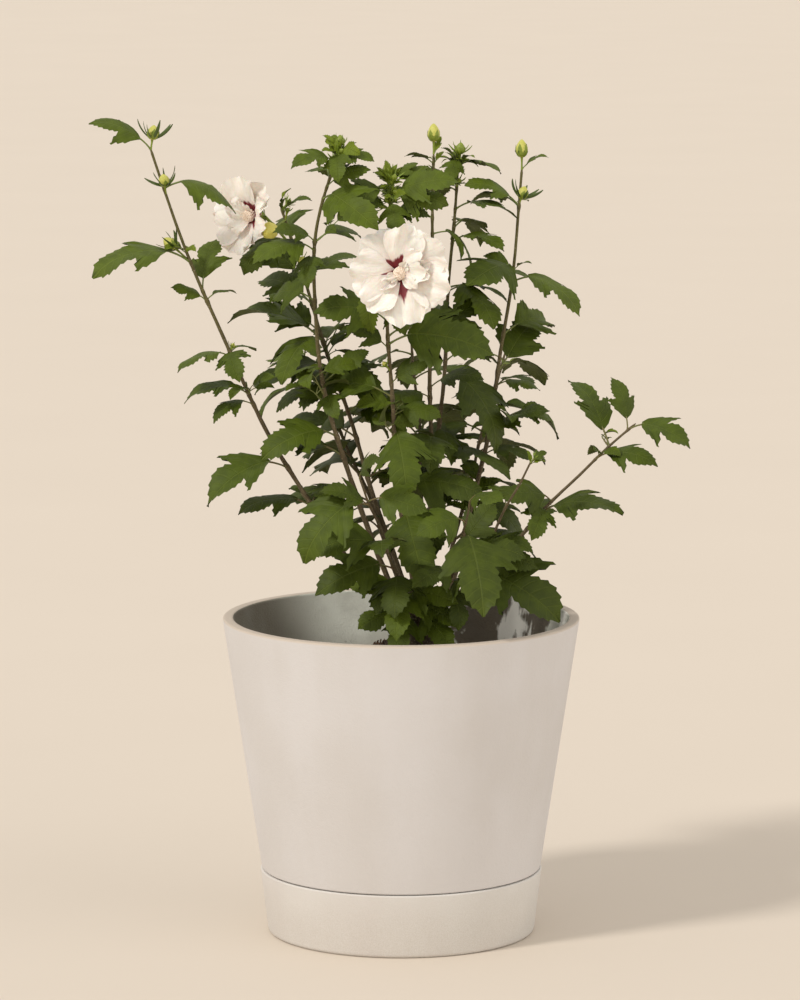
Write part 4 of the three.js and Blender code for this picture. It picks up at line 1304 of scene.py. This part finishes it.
def tint_of(number, i, share, height):
    """The tint of a leaf: deep low down, fresh higher up and on new growth at the foot, with some chance."""
    age = 0.25 * share + 0.75 * (height - LOWEST) / CROWN_REACH + lerp(-0.26, 0.26, chance(number, i, 50))
    oldest = 2 if SHOOTS[number]["name"] == "basal" else 0
    return (DEEP, FULL, FRESH)[int(np.clip(age * 3.0 - 0.2, oldest, 2))]

# %% The leaves of each shoot
taken = []  # the probed places of every blade so far, which a later leaf keeps clear of
for number, shoot in enumerate(SHOOTS):
    foliage = Heap()
    for i, (share, azimuth, pitch, blade) in enumerate(leaves_of[number]):
        tint = tint_of(number, i, share, blade.foot[2])
        leaf(foliage, blade, (number, i), tint, UNDER)
        start = stems[number].at(share) + sway(number, np.array(share))
        petiole(foliage, start, blade, STALK, lerp(0.5, 0.85, float(smooth(blade.length, 20, 75))))
        taken.append(blade.at([0, 0.3, 0.3, 0.3, 0.65, 1], [0, -0.3, 0, 0.3, 0, 0]))
    name = shoot["name"]
    foliage.piece(name + "_leaves", LEAF_TINTS, [name + "_shoot"])
print(len(taken), "leaves")

# %% [markdown]
# ## Finer twigs and young leaves
#
# The solids stop at the leaves that shape the crown. On the real shrub a short side twig with two
# or three smaller leaves stands in many of the leaf axils, and each tip ends in a tuft of young
# leaves. They follow the same rule as the large leaves, with a seeded chance for each size and
# direction. A young leaf grows only where it keeps a few millimetres from every other blade and
# stays within its own shoot's reach, so that no leaf cuts through another.

# %% Finer twigs
CLEAR = 4.2
TUFT_CLEAR = 1.1
BOX_MARGIN = 3
TWIG_STEP = 2.5
TWIG_CHANCE = 0.24
YOUNG_STALK = 0.3
THIN_STALK = 0.42
# The leaves of a twig: how far along it each stands, and how far aside it points, in degrees.
TWIG_LEAVES = [(0.5, 65), (0.75, -65), (1, 8), (0.95, 150), (0.95, -140)]
# How many leaves are tried in the tuft at a shoot's tip.
TUFTS = {"left": 6, "mid_left": 26, "bloom": 30, "centre": 5, "mid_right": 28, "low_right": 3}
# Slim leaves that hang beside a bloom: share of the stem, direction, pitch, length and stalk.
HANGING = {"bloom": [(0.80, 238, -96, 45, 26)]}
# Where a blade is probed for room: the shares along it, and those across it.
PROBES = ([0.05, 0.3, 0.3, 0.3, 0.65, 1], [0, -0.3, 0, 0.3, 0, 0])


def is_free(points, low, high, clear):
    """Whether places keep clear of every blade so far, and inside a box, give or take a little."""
    crowd = np.concatenate(taken)
    inside = (points > low - BOX_MARGIN).all() and (points < high + BOX_MARGIN).all()
    return inside and np.linalg.norm(crowd[None] - points[:, None], axis=-1).min() > clear


def try_leaf(heap, stalk_start, azimuth, pitch, length, seed, tint, box, clear=CLEAR, slim=1.0):
    """Adds a young leaf where there is room for it, and says whether it did."""
    roll = lerp(-30, 30, chance(*seed, 71))
    blade = Blade(stalk_start, azimuth, pitch, length, roll, YOUNG_STALK * length)
    points = blade.at(*PROBES)
    if not is_free(points, *box, clear):
        return False
    fold = lerp(0.2, 0.7, chance(*seed, 72))
    leaf(heap, blade, seed, tint, UNDER, small=True, fold=fold, slim=slim)
    petiole(heap, stalk_start, blade, STALK, THIN_STALK)
    taken.append(points)
    return True


def side_twig(heap, number, i, share, azimuth, box):
    """A short twig in the axil of a leaf, if at least one of its leaves has room."""
    seed = (number + 20, i)
    start = stems[number].at(share) + sway(number, np.array(share))
    way = heading(azimuth + lerp(-80, 80, chance(*seed, 61)), lerp(20, 62, chance(*seed, 62)))
    length = lerp(7, 26, chance(*seed, 63)) * (1.15 - 0.5 * share)
    t = np.linspace(0, 1, max(4, int(length / TWIG_STEP)))[:, None]
    path = start + length * (t * way + 0.18 * t**2 * np.array([0, 0, 1]))
    tint = YOUNG if share > 0.8 else FRESH
    grown = 0
    for k, (along, aside) in enumerate(TWIG_LEAVES):
        place = path[round(along * (len(path) - 1))]
        bearing = math.degrees(math.atan2(way[1], way[0])) + aside + lerp(-25, 25, chance(*seed, 64 + k))
        pitch = lerp(-30, 22, chance(*seed, 90 + k))
        size = lerp(18, 40, chance(*seed, 80 + k)) * (1.1 - 0.65 * share)
        grown += try_leaf(heap, place, bearing, pitch, size, (number + 20, 10 * i + k), tint, box)
    if grown:
        tube(heap, path, lerp(0.95, 0.5, t[:, 0]), 6, STALK)
    return grown


def tuft_leaf(heap, number, k, box):
    """One of the youngest leaves, round the tip of a shoot."""
    seed = (number + 40, k)
    place = stems[number].at(lerp(0.975, 1, chance(*seed, 59)))
    bearing = k * GOLDEN_ANGLE + 360 * chance(*seed, 60)
    pitch = lerp(-8, 70, chance(*seed, 61))
    size = lerp(7, 19, chance(*seed, 62) ** 1.4)
    return try_leaf(heap, place, bearing, pitch, size, seed, YOUNG, box, TUFT_CLEAR, 0.55)

# %% The young leaves
young = Heap()
count = 0
for number, shoot in enumerate(SHOOTS):
    box = box_of(shoot["name"] + "_shoot")
    for i, (share, azimuth, pitch, blade) in enumerate(leaves_of[number]):
        if chance(number, i, 60) < TWIG_CHANCE:
            count += side_twig(young, number, i, share, azimuth, box)
    for k in range(TUFTS.get(shoot["name"], 0)):
        count += tuft_leaf(young, number, k, box)
    for share, azimuth, pitch, length, reach in HANGING.get(shoot["name"], []):
        blade = Blade(stems[number].at(share), azimuth, pitch, length, 0, reach)
        leaf(young, blade, (number + 60, 0), FRESH, UNDER, small=True, fold=0.35, slim=0.62)
        petiole(young, blade.start, blade, STALK, THIN_STALK)
young.piece("young_leaves", LEAF_TINTS)
print(count, "young leaves")

# %% [markdown]
# ## Buds
#
# A bud is a plump spindle of petals rolled round each other, held in a calyx of five pointed
# sepals, with a ring of narrow bracts below. The roll shows as five spiral ridges on the tube of
# the body. Sepals and bracts are straps: thin closed shells that follow a path with a given width.

# %% Straps
def strap(heap, path, faces_to, widths, thickness, tint, bow=0.0):
    """A thin closed strip along a path, facing a way, with a half width at each point."""
    path, widths = np.asarray(path, float), np.asarray(widths, float)[:, None, None]
    along = unit(np.gradient(path, axis=0))
    side = unit(np.cross(np.broadcast_to(faces_to, path.shape), along))
    facing = np.cross(along, side)
    across = np.array([1, 0.5, 0, -0.5, -1])[None, :, None]
    middle = path[:, None] + side[:, None] * across * widths - facing[:, None] * bow * widths * across**2
    strips = np.stack(
        np.broadcast_arrays(0.5 + 0.1 * across[..., 0], np.linspace(0, 1, len(path))[:, None]), -1
    )
    shell(heap, middle, middle - facing[:, None] * thickness, strips, tint, tint)


def square_to(axis):
    """Two directions square to an axis."""
    left = np.cross([0, 0, 1], axis)
    left = unit(left) if left @ left > 1e-4 else np.array([1.0, 0, 0])
    return left, np.cross(axis, left)


def around(axis, angle):
    """The direction square to an axis at an angle round it."""
    left, up = square_to(axis)
    return left * math.cos(angle) + up * math.sin(angle)

# %% A bud
SEPAL, PETAL_GREEN, BRACT, DEEP_BRACT, YELLOW = range(5)
STRAP_ROWS = 9


def bracts(heap, base, axis, count, length, spread, seed, tint=BRACT, wide=1.0):
    """A ring of narrow bracts that spread and then curve up."""
    for k in range(count):
        out = around(axis, 2 * math.pi * (k + 0.3 * chance(seed, k, 3)) / count)
        size = length * lerp(0.75, 1.15, chance(seed, k, 4))
        closed = spread * lerp(0.1, 0.6, chance(seed, k, 5))
        lean = np.radians(np.linspace(spread, closed, STRAP_ROWS))
        way = np.sin(lean)[:, None] * out + np.cos(lean)[:, None] * axis
        steps = np.cumsum(way[:-1] * size / (STRAP_ROWS - 1), axis=0)
        width = lerp(0.55, 1.0, float(smooth(length, 8, 18)))
        width = width * np.sin(np.linspace(0.5, math.pi - 0.12, STRAP_ROWS)) ** 0.7
        turned = axis + lerp(-1.2, 1.2, chance(seed, k, 8)) * np.cross(axis, out)
        strap(heap, base + np.concatenate([[np.zeros(3)], steps]), turned, wide * width, 0.25, tint, bow=-0.3)


# Kinds of bud: the width by the length, the depth of the furrows, the sepals' reach, and the body's tint.
FORMING_BUD = (0.42, 0.09, 1, SEPAL)
GREEN_BUD = (0.42, 0.09, 1, PETAL_GREEN)
TALL_BUD = (0.34, 0.09, 1, PETAL_GREEN)
OPENING_BUD = (0.42, 0.22, 0.6, YELLOW)


def bud(heap, start, axis, length, stalk, seed, kind, bract_length, bract_tint=BRACT):
    """A bud on its stalk, with its sepals and bracts. The bracts' length is by the bud's."""
    girth, furrow, cover, body = kind
    girth = length * girth
    foot = start + axis * stalk
    u = np.linspace(0, 1, 15)
    outline = np.interp(u, [0, 0.12, 0.35, 0.6, 0.8, 0.93, 1], [0.4, 0.75, 1, 0.92, 0.62, 0.34, 0.08])
    turn = 2 * math.pi * np.arange(20) / 20
    roll = 1 + furrow * np.clip(u[:, None] - 0.2, 0, 1) * np.cos(5 * turn[None] + 7 * u[:, None] + seed)
    tube(heap, foot + axis * (u * length)[:, None], girth * outline[:, None] * roll, 20, body)
    for k in range(5):
        out = around(axis, 2 * math.pi * (k + 0.5) / 5 + seed)
        rise = np.linspace(0.02, lerp(0.56, 0.76, chance(seed, k, 6)) * cover, STRAP_ROWS)
        hug = girth * np.interp(rise, [0, 0.12, 0.35, 0.6, 0.8], [0.42, 0.8, 1.05, 1.0, 0.85]) + 0.25
        path = foot + axis * (rise * length)[:, None] + out * hug[:, None]
        taper = np.interp(np.linspace(0, 1, STRAP_ROWS), [0, 0.3, 0.6, 1], [0.85, 1, 0.7, 0.03])
        strap(heap, path, out, 0.64 * girth * taper, 0.35, SEPAL, bow=0.55)
    wide = 1.5 if bract_tint == DEEP_BRACT else 1.0
    bracts(heap, foot, axis, 7, bract_length * length, 66, seed, bract_tint, wide)
    t = np.linspace(0, 1, 6)[:, None]
    stalk_path = start + (foot + axis * 0.1 * length - start) * t
    tube(heap, stalk_path, np.array([1.0, 0.85, 0.8, 0.85, 1.1, 1.6]), 8, SEPAL)

# %% [markdown]
# ## The finish of buds
#
# A bud goes from green to yellow as its petals swell. A plain colour with soft clouds and fine ribs
# is enough, as a bud is only a centimetre long, so its form does the work.

# %% The finish of buds
def bud_finish(name, low_colour, high_colour, shade):
    finish = Finish(name, roughness=0.5)
    clouds = finish.noise(260, 3)
    ribs = finish.noise(900, 2)
    colour = finish.blend(clouds, low_colour, high_colour)
    colour = finish.blend(finish.rise(ribs, 0.45, 0.7) * 0.5, colour, shade)
    return finish.set(base_color=colour, normal=finish.bump(ribs, 0.0004))


BUD_TINTS = [
    bud_finish("sepal_green", paint(116, 134, 36), paint(142, 156, 52), paint(94, 112, 30)),
    bud_finish("bud_petal", paint(190, 190, 78), paint(212, 208, 112), paint(162, 168, 62)),
    bud_finish("bract_green", paint(108, 132, 36), paint(140, 158, 54), paint(86, 108, 28)),
    bud_finish("bract_deep", paint(66, 84, 32), paint(84, 102, 42), paint(54, 70, 26)),
    bud_finish("bud_yellow", paint(228, 218, 88), paint(242, 234, 134), paint(206, 196, 66)),
]
print(len(BUD_TINTS), "finishes for the buds")

# %% The buds
# Where flower buds are only forming, the tip of a shoot holds so many bracted beads.
FORMING = {"left": 3, "mid_left": 10, "bloom": 12, "mid_right": 11}
# A few single ones stand lower down: shoot, share of its stem, direction, pitch and length.
SINGLE_BUDS = [(0, 0.66, 20, 62, 4.5), (1, 0.865, 290, 40, 8.5), (3, 0.6, 200, 50, 5), (8, 1.0, 20, 40, 4)]


def bud_kind(length, lone):
    """The kind of a planned bud by its length, with the length of its bracts by its own."""
    if length > 16:
        return OPENING_BUD, 0.5
    if length > 14:
        return TALL_BUD, 0.5
    return (GREEN_BUD, 1.7) if lone else (FORMING_BUD, 1.25)


buds = Heap()
for number, shoot in enumerate(SHOOTS):
    solid = solid_tree(shoot["name"] + "_shoot")
    lone = shoot["name"] in ("far_left", "right")
    for k, (share, azimuth, pitch, length, *stalk) in enumerate(shoot.get("buds", [])):
        axis, start = heading(azimuth, pitch), stems[number].at(share)
        stalk = stalk[0] if stalk else 0.7 * length
        middle = start + axis * (stalk + 0.9 * length)
        if solid.find_nearest(Vector(middle * MM))[3] < 0.3 * length * MM:
            tint = DEEP_BRACT if lone else BRACT
            bud(buds, start, axis, length, stalk, 7 * number + k, *bud_kind(length, lone), tint)
for number, shoot in enumerate(SHOOTS):
    for k in range(FORMING.get(shoot["name"], 0)):
        axis = heading(360 * chance(number, k, 101), lerp(15, 80, chance(number, k, 102)))
        start = stems[number].at(lerp(0.94, 0.998, chance(number, k, 103)))
        size, stalk = lerp(3.4, 5.8, chance(number, k, 104)), lerp(3, 8, chance(number, k, 105))
        bud(buds, start, axis, size, stalk, 50 + 7 * number + k, FORMING_BUD, 1.9)
for k, (number, share, azimuth, pitch, size) in enumerate(SINGLE_BUDS):
    bud(buds, stems[number].at(share), heading(azimuth, pitch), size, 4.5, 300 + k, GREEN_BUD, 1.5)
buds.piece("buds", BUD_TINTS)

# %% [markdown]
# ## Double blooms
#
# A double bloom has a whorl of broad petals, and inside it smaller petals that were stamens,
# crumpled round a cream column. Each petal is a fan on a narrow claw: it rises from the column,
# spreads, and its margin ruffles, more and more towards the edge. Cloth simulation could crumple it
# too, but a sum of a few waves gives the same soft folds and lets each petal be placed one by one,
# which makes the face of the bloom.

# %% The finish of petals
def petal_finish(name, mark_end, mark_taper):
    """White, with a crimson mark at the foot, which ends so far along and narrows by its taper."""
    finish = Finish(name, roughness=0.55, subsurface_weight=0.14, subsurface_scale=0.002)
    across, along = finish.strip()
    on_petal = finish.node("ShaderNodeCombineXYZ", {0: across, 1: along * 0.12, 2: 0.0})
    rays = finish.noise(26, 3, of=on_petal)
    clouds = finish.noise(120, 3)
    off_middle = finish.math("ABSOLUTE", across - 0.5)
    heart = finish.rise(along + rays * 0.30 + off_middle * mark_taper, mark_end + 0.10, mark_end)
    flush = finish.rise(along + rays * 0.42, 0.70, 0.46)
    soft = finish.rise(clouds * 0.5 + rays * 0.5, 0.3, 0.7)
    white = finish.blend(soft, paint(252, 246, 239), paint(240, 230, 219))
    crimson = finish.blend(rays, paint(88, 8, 20), paint(140, 30, 44))
    colour = finish.blend(flush * 0.16, white, paint(226, 166, 158))
    colour = finish.blend(heart, colour, crimson)
    return finish.set(base_color=colour, normal=finish.bump(rays * 0.7 + clouds * 0.3, 0.0016))


def column_finish():
    finish = Finish("column_cream", roughness=0.6)
    clouds = finish.noise(500, 3)
    return finish.set(
        base_color=finish.blend(clouds, paint(242, 224, 204), paint(250, 238, 224)),
        normal=finish.bump(clouds, 0.0004),
    )

# %% A petal
PETAL_ROWS, PETAL_HALVES = 17, 7


def petal(heap, middle, axis, angle, length, width, opens, lift, seed, ruffle, tint):
    """One petal of a bloom. opens is how far it spreads from the axis, in degrees."""
    vary = [chance(seed, k, 9) for k in range(12)]
    out = around(axis, math.radians(angle))
    side = np.cross(axis, out)
    u = np.linspace(0, 1, PETAL_ROWS)[:, None]
    v = np.linspace(-1, 1, 2 * PETAL_HALVES + 1)[None]
    ragged = 0.030 * np.sin(v * 6 + 6 * vary[0]) + 0.018 * np.sin(v * 14 + 6 * vary[1])
    reach = u * (1 - (0.22 * v**2 - ragged) * u**2)
    claw = 0.16 + 0.84 * np.sin(np.clip(u / 0.80, 0, 1) * math.pi / 2) ** 1.4
    half = 0.5 * width * claw * (1 - 0.10 * u**6)
    lean = np.radians(opens) * (0.42 + 0.58 * np.clip(reach / 0.55, 0, 1) ** 0.8)
    lean += 0.30 * np.clip(reach - 0.6, 0, 1)
    # The petal's run is summed up row by row, out from the axis and along it.
    step = np.diff(np.concatenate([np.zeros_like(reach[:1]), reach]), axis=0)
    away, ahead = np.cumsum(step * np.sin(lean), axis=0), np.cumsum(step * np.cos(lean), axis=0)
    lateral = half * v
    crumple = ruffle * (
        0.064 * u**2.0 * np.sin(v * lerp(3.0, 4.6, vary[2]) + 6.3 * vary[3])
        + 0.036 * u**2.2 * np.sin(v * lerp(6, 9, vary[4]) + 4 * u + 6.3 * vary[5])
        + 0.016 * u**3 * np.sin(v * 15 + 3 * u + 6.3 * vary[6])
        + 0.012 * np.sin(v * 10 + 4 * u + 6.3 * vary[7]) * u
    )
    crumple = crumple + 0.20 * lateral**2 / (0.5 * width) + 0.05 * vary[8] * v * u
    normal = np.cos(lean)[..., None] * -out + np.sin(lean)[..., None] * axis
    base = middle + lift * axis + 1.4 * out
    parts = [(away, out), (ahead, axis), (lateral, side), (crumple, normal)]
    surface = base + length * sum(share[..., None] * way for share, way in parts)
    strips = np.stack(np.broadcast_arrays(0.5 + 0.5 * v * half, u), -1)
    shell(heap, surface, surface - 0.45 * normal, strips, tint, BACK)

# %% The petals of each bloom
# Petals of a bloom: direction in its face, length, width by length, how far it opens in degrees, how far
# forward it starts, and its finish: a short mark, a broad one, a long streak or a thin trace. The backs of
# all have no mark.
SHORT, BROAD, STREAK, TRACE, BACK = range(5)
FULL_FACE = [
    (134, 0.99, 0.98, 82, 0.0, BROAD), (36, 1.03, 0.98, 80, 0.2, SHORT), (-80, 1.06, 0.94, 82, 0.4, STREAK),
    (184, 0.99, 1.06, 78, 0.8, TRACE), (-14, 1.10, 0.92, 76, 1.2, SHORT), (-132, 0.98, 0.80, 74, 1.8, SHORT),
    (80, 0.99, 0.84, 76, 2.4, BROAD),
]
FULL_INNER = [
    (28, 0.76, 0.84, 57, 3.6, SHORT), (-4, 0.70, 0.80, 56, 4.6, SHORT), (-32, 0.50, 0.66, 52, 3.4, SHORT),
    (-136, 0.52, 0.54, 58, 3.8, SHORT), (-150, 0.36, 0.60, 44, 5.2, SHORT), (50, 0.34, 0.70, 44, 4.6, SHORT),
]
SIDE_FACE = [
    (160, 0.98, 1.05, 72, 0.0, SHORT), (105, 1.02, 1.08, 62, 0.4, BROAD), (50, 1.0, 1.0, 70, 0.2, BROAD),
    (0, 0.94, 1.00, 66, 0.8, BROAD), (-50, 0.76, 0.95, 74, 0.4, STREAK), (-105, 1.0, 1.08, 70, 0.6, SHORT),
    (-155, 1.0, 1.05, 76, 0.2, SHORT),
]
SIDE_INNER = [
    (150, 0.60, 0.9, 44, 4.0, SHORT), (205, 0.56, 0.9, 50, 4.5, SHORT), (-120, 0.58, 0.9, 48, 4.0, SHORT),
    (100, 0.48, 0.9, 40, 5.0, SHORT), (175, 0.42, 0.9, 36, 6.0, SHORT),
]
# How the petals of each bloom are put together: a whorl, the first of its seeds, and how much it ruffles.
WHORLS = {
    "bloom": [(FULL_FACE, 0, 1.35), (FULL_INNER, 20, 2.1)],
    "left": [(SIDE_FACE, 0, 1.7), (SIDE_INNER, 20, 2.4)],
}
print(len(FULL_FACE + FULL_INNER), "petals in the open bloom")

# %% [markdown]
# ## The column
#
# In the middle of every hibiscus stands a column, with the anthers as a knob of small beads round
# its end and five stigmas at its tip. The beads repeat, so Geometry Nodes set one on each place and
# then make them real.

# %% The column
COLUMN_LENGTH = 0.30  # by the length of a petal
ANTHERS, STIGMAS = 72, 5


def column(heap, middle, axis, length, seed):
    """The column, with its filaments. Returns the places of the anthers and of the stigmas."""
    t = np.linspace(0, 1, 12)
    path = middle + axis * lerp(-2.0, length, t)[:, None]
    tube(heap, path, np.interp(t, [0, 0.2, 0.8, 1], [2.4, 1.9, 1.4, 0.9]), 12, 0)
    # The anthers stand close together, as a knob round the column's end.
    tips, knob = [], middle + axis * length * 0.66
    for k in range(ANTHERS):
        upward = k / (ANTHERS - 1)
        level = lerp(-0.55, 0.98, upward)
        out = around(axis, k * math.radians(GOLDEN_ANGLE))
        way = axis * level + out * math.sqrt(1 - level**2)
        tip = knob + way * lerp(4.2, 4.9, chance(seed, k, 1))
        start = middle + axis * length * lerp(0.3, 0.95, upward)
        tube(heap, [start, (start + tip) / 2, tip], [0.3, 0.24, 0.22], 4, 0)
        tips.append(tip)
    stigmas = []
    for k in range(STIGMAS):
        tip = middle + axis * (length + 4.2) + around(axis, 2 * math.pi * k / STIGMAS) * 2.2
        tube(heap, [path[-1], (path[-1] + tip) / 2 + axis * 0.5, tip], [0.4, 0.35, 0.35], 5, 0)
        stigmas.append(tip)
    return tips, stigmas

# %% Anthers and stigmas
BEAD_SEED = 4
BEAD_SHAPE = (1, 0.7, 0.8)


def beads(name, places, finish, size):
    """A small bead on each of some places, with a radius in metres."""
    carrier = bpy.data.meshes.new(name + "_places")
    carrier.from_pydata((np.array(places) * MM).tolist(), [], [])
    recipe = Recipe(name)
    radius = recipe.size("Bead radius", size)
    ball = recipe.node("GeometryNodeMeshIcoSphere", {"Radius": radius, "Subdivisions": 2})
    balls = recipe.set_on(recipe.surface, ball, BEAD_SEED, BEAD_SHAPE)
    return settle(recipe.run(balls, bpy.data.objects.new(name, carrier), name, finish), [])

# %% [markdown]
# ## The calyx and the blooms
#
# Behind the petals sits a green cup with five sepals and a ring of bracts, on a stalk that leaves
# the stem. It hardly shows from the front, but it carries the bloom when the plant is seen from its
# side or its back.

# %% The calyx
CALYX_DEPTH = 11


def calyx(heap, start, middle, axis, seed):
    """The bloom's stalk, the cup behind its petals, five sepals and a ring of bracts."""
    back = middle - CALYX_DEPTH * axis
    u = np.linspace(0, 1, STRAP_ROWS)
    t = u[:, None]
    path = start + (back - start) * t + 4 * (t * (1 - t)) * np.array([0, 0, 1])
    tube(heap, path, lerp(1.1, 1.5, u), 8, SEPAL)
    cup = np.interp(u, [0, 0.3, 0.7, 1], [1.6, 4.2, 5.0, 4.0])
    tube(heap, back + axis * (CALYX_DEPTH + 1) * t, cup, 18, SEPAL)
    spread = np.interp(u, [0, 0.4, 1], [2.2, 5.0, 8.5])[:, None]
    width = 3.6 * np.interp(u, [0, 0.4, 1], [0.8, 1, 0.04])
    for k in range(5):
        out = around(axis, 2 * math.pi * k / 5)
        strap(heap, back + axis * (1 + 13 * t) + out * spread, out, width, 0.4, SEPAL, bow=0.4)
    bracts(heap, back + axis, axis, 8, 15, 70, seed)

# %% The blooms
petals, columns, calyces = Heap(), Heap(), Heap()
anthers, stigmas = [], []
for number, shoot in enumerate(SHOOTS):
    bloom = shoot.get("bloom")
    if not bloom:
        continue
    middle, axis, size = np.array(bloom["centre"], float), heading(*bloom["faces"]), bloom["petal"]
    for whorl, first, ruffle in WHORLS[shoot["name"]]:
        for k, (angle, length, width, opens, lift, tint) in enumerate(whorl):
            seed = 10 * number + first + k
            petal(petals, middle, axis, angle, length * size, width, opens, lift, seed, ruffle, tint)
    tips, ends = column(columns, middle, axis, COLUMN_LENGTH * size, number)
    anthers += tips
    stigmas += ends
    calyx(calyces, stems[number].at(bloom["share"]), middle, axis, 90 + number)
# Each finish of petals: its name, how far along its mark ends, and how fast the mark narrows.
MARKS = [
    ("petal", 0.30, 1.0), ("petal_heart", 0.54, 2.1), ("petal_streak", 0.70, 4.4), ("petal_trace", 0.52, 6.5),
    ("petal_back", -1.0, 1.0),
]
petals.piece("bloom_petals", [petal_finish(*mark) for mark in MARKS])
cream = column_finish()
columns.piece("bloom_columns", [cream])
calyces.piece("bloom_calyces", BUD_TINTS)
beads("anthers", anthers, cream, 0.00135)
beads("stigmas", stigmas, cream, 0.0009)
